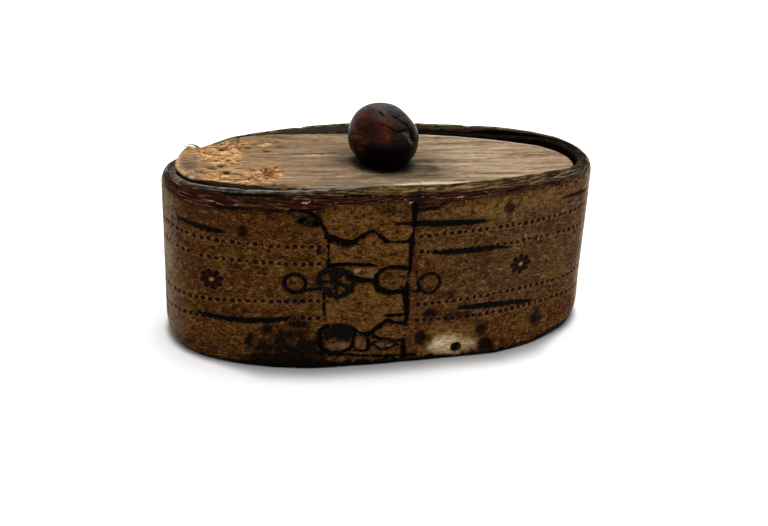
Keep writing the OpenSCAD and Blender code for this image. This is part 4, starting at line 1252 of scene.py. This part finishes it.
def ball_grid(cells):
    """Unit vectors and quads of a ball drawn out from a cube, with the points of its edges shared."""
    line_up = np.tan(np.linspace(-math.pi / 4, math.pi / 4, cells + 1))
    a, b = np.meshgrid(line_up, line_up, indexing="ij")
    one = np.ones_like(a)
    sides = [(one, a, b), (-one, -a, b), (-a, one, b), (a, -one, b), (-b, a, one), (b, a, -one)]
    grid = np.concatenate([np.stack(s, -1).reshape(-1, 3) for s in sides])
    key = np.round(grid / 1e-6).astype(np.int64)
    _, first, number = np.unique(key, axis=0, return_index=True, return_inverse=True)
    number = number.ravel()
    quads = grid_quads(np.arange(a.size).reshape(a.shape))
    faces = np.concatenate([number[quads + k * a.size] for k in range(6)])
    return grid[first] / np.linalg.norm(grid[first], axis=1)[:, None], faces


def knob_ball(material):
    """Hand-cut round knob with flats, cracks, a split shell and a chip, flat where it sits on the lid."""
    n, faces = ball_grid(KNOB_CELLS)
    at = n.T * KNOB_NOISE
    (lon, lat), swell = KNOB_SWELL
    r = (KNOB_RADIUS - 0.02) * (1 + swell * np.maximum(n @ heading(lon, lat), 0) ** 2)
    r = r - 0.1 * (1 + noise(*at, (5, 5, 5), 121, 2)) - 0.04 * (1 + noise(*at, (1.3, 1.3, 0.9), 122, 2))
    for (lon, lat), reach in KNOB_FLATS:
        gap = reach / np.maximum(n @ heading(lon, lat), 0.05) - r
        r = r - 0.5 * (np.sqrt(gap * gap + 0.22) - gap)
    crack = least(ball_stroke(n, path) for path in KNOB_CRACKS) + 0.07 * noise(*at, (0.6, 0.6, 0.6), 123, 2)
    chip = ball_stroke(n, KNOB_CHIP) + 0.4 * noise(*at, (0.9, 0.9, 0.9), 124, 2)
    shell = fade(ball_stroke(n, [(*p[:2], 0.0) for p in KNOB_CRACKS[2]]) - 0.9, 0.7)
    r = r - 0.42 * fade(crack, 0.16) - 0.3 * fade(chip, 0.3) - 0.1 * shell
    red = most(np.clip(1 - np.linalg.norm(n - heading(lon, lat), axis=1) / size, 0, 1)
               for (lon, lat), size in KNOB_RED)
    # Lower half, painted black as shade, reaching higher on the front
    facing = np.maximum(n @ heading(20, 0), 0)
    low = np.clip((0.3 + 0.4 * facing - n[:, 2]) / 0.72 + 0.3 * noise(*at, (2, 2, 2), 125, 3), 0, 1)
    local = n * r[:, None]
    z = np.maximum(local[:, 2] + KNOB_RISE - KNOB_SINK, 0.0)
    return make_piece("knob_ball", on_lid(local[:, 0] + KNOB_SHIFT, local[:, 1], z), list(faces), material,
                      {"crack": np.clip(crack, -1.5, 1.5), "chip": fade(chip, 0.25), "red": red, "low": low,
                       # Share of the painted grey sheen on the upper part
                       "top": ease((n[:, 2] - 0.3) / 0.7)})


# Materials

def bark_look():
    """Outer bark: mottled brown with stamped, burnt and torn marks, grey at the ends as wear and painted sheen,
    and lighter to the right as painted light.
    """
    look = Look("outer_bark", Specular_IOR_Level=0.03, Sheen_Weight=0.05, Sheen_Roughness=0.22,
                Sheen_Tint=(225, 210, 195))
    blotch = look.noise((1.4, 1.4, 1.0), 5, 0.68, 0.8)
    streak = look.noise((1.1, 1.1, 0.36), 4, 0.65, 1.4)
    speck = look.noise((0.44, 0.44, 0.36), 2, 0.6)
    broad = look.noise((8, 8, 5), 3, 0.55)
    wrinkle = look.noise((1.6, 1.6, 1.0), 3, 0.6, 1.6)
    mottle = look.mixed((blotch, 0.38), (speck, 0.22), (streak, 0.4))
    crease = look.math("ABSOLUTE", look.math("SUBTRACT", wrinkle, 0.5))
    golden = look.ramp(mottle, (0.39, (16, 5, 2)), (0.44, (48, 22, 6)), (0.5, (86, 50, 15)),
                       (0.56, (120, 79, 34)), (0.66, (180, 144, 100)))
    taupe = look.ramp(mottle, (0.39, (26, 13, 6)), (0.44, (66, 41, 19)), (0.5, (98, 67, 36)),
                      (0.56, (130, 98, 62)), (0.66, (188, 158, 120)))
    # The lighter taupe towards the right is painted light.
    look.colour = look.blend("right", golden, taupe)
    look.coat((70, 32, 16), look.span(broad, 0.5, 0.68, 0.0, 0.45))
    look.coat((124, 88, 34), look.span(broad, 0.46, 0.3, 0.0, 0.35))
    look.coat((36, 15, 6), look.span(crease, 0.0, 0.045, 0.5, 0.0))
    look.coat((152, 108, 52), "joint", look.span(mottle, 0.42, 0.58, 0.0, 0.36))
    look.coat((146, 108, 46), "ochre", look.span(blotch, 0.4, 0.6, 0.0, 0.6))
    # Pale grey at the ends: partly wear, partly painted sheen
    look.coat((200, 178, 150), "grey", look.span(mottle, 0.4, 0.55, 0.4, 0.95))
    look.coat((150, 106, 52), "halo", look.span(blotch, 0.4, 0.6, 0.1, 0.8))
    look.coat((52, 15, 9), look.span("loops", 0.14, -0.14, 0.0, 0.75))
    stain = look.ramp(blotch, (0.42, (4, 4, 3)), (0.57, (14, 8, 5)), (0.69, (66, 26, 15)))
    look.coat(stain, "stain", look.span(speck, 0.3, 0.6, 0.8, 1.0))
    torn_bark(look, blotch, speck)
    stamp = stamped_bark(look, mottle, blotch, speck)
    black = black_lines(look, blotch, speck)
    normal = look.bump(mottle, 0.9, 0.3)
    normal = look.bump(black, 0.5, -0.25, normal)
    normal = look.bump(stamp, 0.4, -0.15, normal)
    return look.finish(look.span(mottle, 0.4, 0.6, 0.8, 0.55), normal)


def torn_bark(look, blotch, speck):
    """Adds the torn edge: dark red-brown layers, thin black lines, pale flakes, and the grey-brown rim."""
    layer = look.noise((4, 4, 0.26), 5, 0.7, 0.4)
    look.coat(look.ramp(layer, (0.38, (8, 3, 3)), (0.49, (42, 16, 9)), (0.57, (74, 36, 20)),
                        (0.66, (156, 112, 76))), "torn")
    rim = look.ramp(layer, (0.38, (18, 14, 11)), (0.48, (64, 53, 42)), (0.57, (108, 94, 76)),
                    (0.68, (172, 158, 138)))
    warm = look.ramp(layer, (0.38, (30, 19, 9)), (0.47, (92, 65, 32)), (0.56, (142, 108, 60)),
                     (0.68, (196, 168, 120)))
    rim = look.blend("gold", rim, warm)
    rim = look.blend("back", rim, look.ramp(layer, (0.4, (56, 48, 30)), (0.6, (126, 114, 80))))
    look.coat(rim, "rim", 0.95)
    look.coat((7, 4, 3), look.span(look.math("FRACT", "strata"), 0.26, 0.06), look.span("strata", 0.2, 0.5),
              look.span(blotch, 0.34, 0.5), 0.9)
    look.coat(look.ramp(speck, (0.35, (150, 100, 62)), (0.65, (226, 180, 140))),
              look.span("flake", 0.08, -0.08, 0.0, 0.9))


def stamped_bark(look, mottle, blotch, speck):
    """Adds the pale chip and neck, scratches, and the stamped marks with their pale rings, and returns those."""
    strand = look.noise((1.6, 1.6, 0.3), 4, 0.65, 0.5)
    look.coat(look.ramp(strand, (0.36, (150, 108, 58)), (0.46, (208, 174, 124)), (0.58, (252, 234, 194))), "pale")
    look.coat(look.ramp(mottle, (0.42, (112, 70, 34)), (0.56, (214, 170, 124))), "neck", 0.85)
    look.coat((32, 17, 9), look.span("scratch", 0.1, -0.08, 0.0, 0.75))
    look.coat((158, 116, 74), look.span("stamp", 0.06, 0.16), look.span("stamp", 0.36, 0.18),
              look.span(speck, 0.45, 0.62, 0.1, 0.5))
    stamp = look.times(look.span("stamp", 0.1, -0.12), look.span(blotch, 0.3, 0.42, 0.6, 1.0))
    look.coat(look.ramp(speck, (0.4, (14, 4, 4)), (0.7, (50, 20, 17))), stamp)
    return stamp


def black_lines(look, blotch, speck):
    """Adds the painted shade along the foot, the char, the band's inner face with its painted shade, and the
    crusted black lines with painted shadows under the torn flakes, and returns the last.
    """
    # Painted shade along the foot
    look.coat((10, 7, 5), "foot")
    look.coat(look.ramp(speck, (0.45, (6, 6, 5)), (0.85, (34, 28, 20))), "char")
    look.coat((38, 15, 8), look.span("black", 0.5, 0.05, 0.0, 0.6), look.span(blotch, 0.4, 0.6))
    # Pale rims along the black lines: partly wear, partly painted highlight
    look.coat((176, 140, 100), look.span("black", 0.12, 0.2), look.span("black", 0.42, 0.24),
              look.span(speck, 0.54, 0.68, 0.0, 0.3))
    # Inner face: painted black shade on the right, grey-brown lightened as painted light on the left
    look.coat(look.blend(look.span("right", 0.02, 0.2), (104, 96, 82), (2, 2, 2)), "inside")
    # Black lines: cuts, lenticels, rings and the torn edge, with the painted shadows under the flakes
    crust = look.times(look.math("SUBTRACT", blotch, 0.5), 1.3)
    black = look.span(look.math("ADD", "black", crust), 0.08, -0.08)
    look.coat((6, 5, 4), black)
    return black


def liner_look():
    """Inner bark: brown layers, black painted shade under the rim, and a grey worn edge with a painted highlight
    on its inner side.
    """
    look = Look("inner_bark", Specular_IOR_Level=0.02)
    layer = look.noise((6, 6, 0.5), 4, 0.6, 0.2)
    fine = look.noise((2.4, 2.4, 0.4), 4, 0.68)
    look.colour = look.ramp(layer, (0.3, (46, 33, 22)), (0.55, (80, 60, 41)), (0.75, (110, 86, 60)))
    # Black painted shade below the rim
    look.coat((2, 2, 2), "under_rim_shade", 0.96)
    rim = look.ramp(fine, (0.36, (20, 16, 13)), (0.5, (68, 57, 46)), (0.6, (108, 94, 78)), (0.7, (160, 146, 128)))
    warm = look.ramp(fine, (0.36, (20, 15, 8)), (0.5, (62, 50, 30)), (0.6, (92, 76, 48)), (0.7, (136, 114, 78)))
    rim = look.blend("right", rim, warm)
    # Painted highlight along the rim's inner edge
    rim = look.blend(look.times("lip", look.span(fine, 0.38, 0.54, 0.2, 0.95)), rim, (186, 176, 166))
    look.coat(rim, "rim")
    normal = look.bump(look.mixed((layer, 1.0), (fine, 0.5)), 0.5, 0.15)
    return look.finish(look.span(fine, 0.3, 0.7, 0.8, 0.6), normal)


def lid_look():
    """Lid: weathered grey-brown grain, a raw gnawed end, stains and a painted shadow about the knob, painted
    shade lines, highlights and light, and dark sides.
    """
    look = Look("lid_wood", Specular_IOR_Level=0.08)
    grain = look.noise((16, 1.5, 3.0), 6, 0.66, 0.5)
    streak = look.noise((30, 2.6, 6.0), 4, 0.6, 0.6)
    fine = look.noise((1.6, 0.32, 0.6), 4, 0.7)
    dust = look.noise((4, 2.4, 4), 5, 0.65)
    fibres = look.noise((2.0, 0.6, 0.8), 5, 0.68)
    tone = look.mixed((grain, 0.6), (fine, 0.4))
    look.colour = look.ramp(tone, (0.38, (70, 50, 35)), (0.45, (122, 98, 72)), (0.503, (149, 124, 94)),
                            (0.56, (172, 147, 116)), (0.65, (226, 208, 178)))
    look.coat((134, 98, 74), look.span(streak, 0.48, 0.62, 0.0, 0.55))
    look.coat((128, 124, 102), look.span(dust, 0.5, 0.64, 0.0, 0.5))
    # Lighter towards the right: painted light
    look.coat((216, 186, 154), "light", look.span(tone, 0.42, 0.56, 0.1, 0.46))
    look.coat((112, 108, 88), "front", look.span(tone, 0.42, 0.56, 0.5, 0.12))
    look.coat((184, 138, 88), "warm", look.span(fine, 0.35, 0.6, 0.05, 0.55))
    look.coat((56, 52, 38), "stain", look.span(dust, 0.3, 0.6, 0.55, 0.95))
    # Painted contact shadow round the knob
    look.coat((8, 7, 5), "knob_contact_shade", 0.95)
    look.coat(look.ramp(fine, (0.35, (86, 66, 52)), (0.65, (130, 108, 90))), "patch", 0.85)
    look.coat((212, 182, 134), "cream", look.span(fine, 0.3, 0.6, 0.3, 0.9))
    look.coat(look.ramp(fibres, (0.36, (110, 56, 20)), (0.44, (190, 128, 70)), (0.52, (230, 178, 118)),
                        (0.62, (250, 218, 168))), "raw")
    look.coat((158, 90, 34), "gouge", look.span(fibres, 0.54, 0.42, 0.1, 0.7))
    look.coat((84, 62, 36), "speckle", 0.8)
    look.coat((150, 112, 34), "olive", look.span(fibres, 0.35, 0.55, 0.4, 0.95))
    look.coat((34, 28, 18), "broken", look.span(fibres, 0.36, 0.58, 1.0, 0.5))
    look.coat((238, 222, 194), "gleam", 0.75)
    # Near-black painted shade in the gap along the front edge
    look.coat((16, 13, 9), "line", 0.95)
    look.coat(look.ramp(fibres, (0.45, (22, 10, 4)), (0.68, (84, 40, 12))), "pit", 0.92)
    side = look.blend("deep", look.ramp(fibres, (0.3, (6, 5, 4)), (0.7, (26, 20, 14))),
                      look.ramp(fibres, (0.3, (70, 52, 36)), (0.7, (128, 102, 72))))
    look.coat(side, look.span("side", 0.1, 0.6, 0.0, 0.97))
    normal = look.bump(look.times(fibres, "raw"), 0.7, 0.4, look.bump(tone, 0.8, 0.2))
    return look.finish(look.span(grain, 0.3, 0.7, 0.85, 0.65), normal)


def splinter_look():
    """Splinters: fresh pale wood, and one dark hair."""
    look = Look("splinter_wood", Specular_IOR_Level=0.1)
    fibres = look.noise((2.0, 0.5, 0.7), 3, 0.6)
    look.colour = look.ramp(fibres, (0.32, (150, 92, 44)), (0.5, (222, 170, 114)), (0.66, (250, 218, 170)))
    look.coat((70, 52, 30), "hair", 0.9)
    return look.finish(look.span(fibres, 0.3, 0.7, 0.85, 0.65), look.bump(fibres, 0.4, 0.05))


def knob_look():
    """Knob: dark brown with red-brown wear, a painted grey sheen on top, black below as painted shade, black in
    its cracks, and a pale chip.
    """
    look = Look("knob_wood", Specular_IOR_Level=0.05)
    ring = look.noise((1.8, 1.8, 1.1), 4, 0.65, 0.8)
    fine = look.noise((0.45, 0.45, 0.45), 3, 0.6)
    glow = look.noise((3.4, 3.4, 2.4), 3, 0.55, 0.4)
    look.colour = look.ramp(ring, (0.32, (16, 9, 6)), (0.5, (36, 24, 17)), (0.68, (66, 48, 35)))
    # Painted grey sheen on the upper part
    look.coat((76, 64, 54), "top", look.span(ring, 0.42, 0.62, 0.0, 0.45))
    red = look.ramp(glow, (0.36, (28, 6, 3)), (0.52, (58, 18, 7)), (0.68, (106, 52, 24)))
    look.coat(red, look.span("red", 0.0, 0.7, 0.0, 0.95))
    # Lower half painted black as shade
    look.coat((2, 2, 2), look.span("low", 0.0, 1.0, 0.0, 0.98))
    look.coat(look.ramp(fine, (0.46, (30, 18, 9)), (0.64, (168, 136, 94))), "chip", 0.95)
    crack = look.span("crack", 0.08, -0.1)
    look.coat((4, 3, 3), crack)
    normal = look.bump(look.mixed((ring, 1.0), (fine, 0.4)), 0.5, 0.2)
    return look.finish(look.span(fine, 0.3, 0.7, 0.2, 0.36), look.bump(crack, 0.6, -0.3, normal))


def board_look():
    """Bottom board: plain brown wood with some dirt."""
    look = Look("board_wood", Specular_IOR_Level=0.2)
    grain = look.noise((34, 0.9, 2.2), 4, 0.6, 0.5)
    fine = look.noise((6.0, 0.3, 0.6), 3, 0.6)
    dirt = look.noise((8, 6, 6), 4, 0.6)
    look.colour = look.ramp(grain, (0.3, (86, 62, 38)), (0.5, (122, 94, 62)), (0.7, (150, 122, 86)))
    look.coat((70, 48, 30), look.span(fine, 0.56, 0.72, 0.0, 0.5))
    look.coat((52, 36, 22), look.span(dirt, 0.46, 0.66, 0.0, 0.7))
    normal = look.bump(look.math("ADD", grain, fine), 0.4, 0.12)
    return look.finish(look.span(fine, 0.3, 0.7, 0.8, 0.62), normal)


def peg_look():
    """Pegs and dowel: brown wood with blackened heads."""
    look = Look("peg_wood", Specular_IOR_Level=0.03)
    ring = look.noise((0.5, 0.5, 0.5), 4, 0.65, 0.4)
    look.colour = look.ramp(ring, (0.3, (30, 19, 12)), (0.5, (62, 42, 27)), (0.7, (92, 66, 42)))
    look.coat((9, 8, 7), "head", 0.9)
    return look.finish(look.span(ring, 0.3, 0.7, 0.75, 0.6), look.bump(ring, 0.5, 0.1))


# Studio

CAMERA_AZIMUTH, CAMERA_ELEVATION, CAMERA_ROLL = math.radians(-14.75), math.radians(26.0), math.radians(2.64)
CAMERA_TARGET, CAMERA_DISTANCE = np.array([1.2, 0.0, 12.24]), 254.7
FOCAL_PIXELS, FRAME_WIDTH, SENSOR_WIDTH = 1191.0, 768, 36.0
# Floor: distances of its rings from the foot, and the painted shadow along the contact, narrower at the ends
FLOOR_RINGS = (-6.0, -2.0, 0.0, 0.8, 1.8, 3.0, 4.5, 6.5, 9.0, 13.0, 20.0, 40.0, 120.0, 500.0, 2000.0, 6000.0)
FLOOR_STEP, FLOOR_FOOT_Z = 2.0, 0.4
CONTACT_SHADE_WIDTH, CONTACT_SHADE_LEVEL, CONTACT_SHADE_ENDS, ENDS_FROM, ENDS_OVER = 6.5, 0.34, 2.4, 26.0, 16.0
FLOOR_Z, FLOOR_GREY, FLOOR_WHITE = -0.01, 0.8, 1.5
# Lights, with places in metres
SKY_LEVEL, LAMP_POWER, LAMP_SIZE = 0.42, 4.3, 0.9
LAMP_PLACE, LAMP_AIM = (0.1, 0.07, 0.74), (0, 0, 0.02)


def camera():
    """Camera that sees the box as the photo does."""
    az, el, roll = CAMERA_AZIMUTH, CAMERA_ELEVATION, CAMERA_ROLL
    back = np.array([math.sin(az) * math.cos(el), -math.cos(az) * math.cos(el), math.sin(el)])
    right = np.cross(-back, (0, 0, 1))
    right = right / np.linalg.norm(right)
    up = np.cross(right, -back)
    side = right * math.cos(roll) + up * math.sin(roll)
    top = up * math.cos(roll) - right * math.sin(roll)
    place = (CAMERA_TARGET + back * CAMERA_DISTANCE) * MM
    data = bpy.data.cameras.new("camera")
    data.sensor_width = SENSOR_WIDTH
    data.lens = FOCAL_PIXELS / FRAME_WIDTH * SENSOR_WIDTH
    data.clip_start, data.clip_end = 0.01, 50
    eye = bpy.data.objects.new("camera", data)
    rows = [[side[i], top[i], back[i], place[i]] for i in range(3)] + [[0, 0, 0, 1]]
    eye.matrix_world = [list(map(float, column)) for column in np.array(rows).T]
    bpy.context.scene.collection.objects.link(eye)
    bpy.context.scene.camera = eye


def floor():
    """Pale floor round the foot, white to the eye, with the box's shadow on it and a painted shadow along the
    contact.
    """
    us = spaced(-HALF_TURN, HALF_TURN, FLOOR_STEP)
    count = len(us)
    foot = np.minimum(worn_inset(us, FLOOR_FOOT_Z), MOST_WORN)
    rings = [oval(us, foot - reach)[:2] for reach in FLOOR_RINGS]
    points = np.concatenate([np.stack([x, y, np.full(count, FLOOR_Z)], -1) for x, y in rings])
    narrow = 1 + CONTACT_SHADE_ENDS * ease((np.abs(oval(us)[0]) - ENDS_FROM) / ENDS_OVER)
    near = np.concatenate([reach * narrow for reach in FLOOR_RINGS])
    faces = [list(range(count))]
    for ring in range(len(rings) - 1):
        for i in range(count):
            a, b, k = ring * count, (ring + 1) * count, (i + 1) % count
            faces.append([a + i, b + i, b + k, a + k])
    look = Look("floor_card")
    card = look.add("ShaderNodeBsdfDiffuse")
    pale = look.span(look.seen(), 0.0, 1.0, FLOOR_GREY, FLOOR_WHITE)
    # Painted contact shadow, darker nearer the foot
    contact = look.span("near", 0.0, CONTACT_SHADE_WIDTH, CONTACT_SHADE_LEVEL, 1.0)
    look.put(card.inputs["Color"], look.times(pale, contact))
    look.put(look.tree.nodes["Material Output"].inputs["Surface"], card.outputs[0])
    look.tree.nodes.remove(look.shader)
    make_piece("floor", points, faces, look.material, {"near": np.clip(near, -6, 60)})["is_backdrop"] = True


def lights():
    """White sky, dimmer as a light than to the eye, and one broad lamp overhead."""
    world = bpy.data.worlds.new("studio")
    world.use_nodes = True
    sky = world.node_tree.nodes["Background"]
    sky.inputs["Color"].default_value = (1, 1, 1, 1)
    nodes = Nodes(world.node_tree)
    nodes.put(sky.inputs["Strength"], nodes.span(nodes.seen(), 0.0, 1.0, SKY_LEVEL, 1.0))
    bpy.context.scene.world = world
    data = bpy.data.lights.new("overhead", "AREA")
    data.shape, data.size, data.energy = "DISK", LAMP_SIZE, LAMP_POWER
    lamp = bpy.data.objects.new("overhead", data)
    lamp.location = LAMP_PLACE
    aim = np.array(LAMP_AIM) - np.array(LAMP_PLACE)
    lamp.rotation_euler = Vector(aim).to_track_quat("-Z", "Y").to_euler()
    bpy.context.scene.collection.objects.link(lamp)


def dress(node, material):
    """Gives a CAD node that stays in view its own procedural material."""
    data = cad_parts[node].data
    data.materials.clear()
    data.materials.append(material)
    data.polygons.foreach_set("material_index", np.zeros(len(data.polygons), np.int32))


def place(piece, body, node, slot):
    """Ties a piece to its body and hides the CAD node it stands in for, if any; slot is not used."""
    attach(piece, body)
    if node:
        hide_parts(node)


bpy.context.scene.view_settings.view_transform = "Standard"
peg_wood = peg_look()
place(bark_band(bark_look()), "box", "outer_band", "outer_bark")
place(bark_liner(liner_look()), "box", "inner_band", "inner_bark")
place(whittled_pegs(peg_wood), "box", "bottom_pegs", "peg_wood")
place(lid_plank(lid_look()), "lid", "lid_board", "lid_wood")
place(lid_splinters(splinter_look()), "lid", None, "lid_wood")
place(knob_ball(knob_look()), "lid", "knob", "knob_wood")
dress("bottom_board", board_look())
dress("knob_dowel", peg_wood)
camera()
floor()
lights()

boxes = {"cad": CAD_BOX, "visual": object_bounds()}
{key: [[float(v) for v in corner] for corner in box] for key, box in boxes.items()}
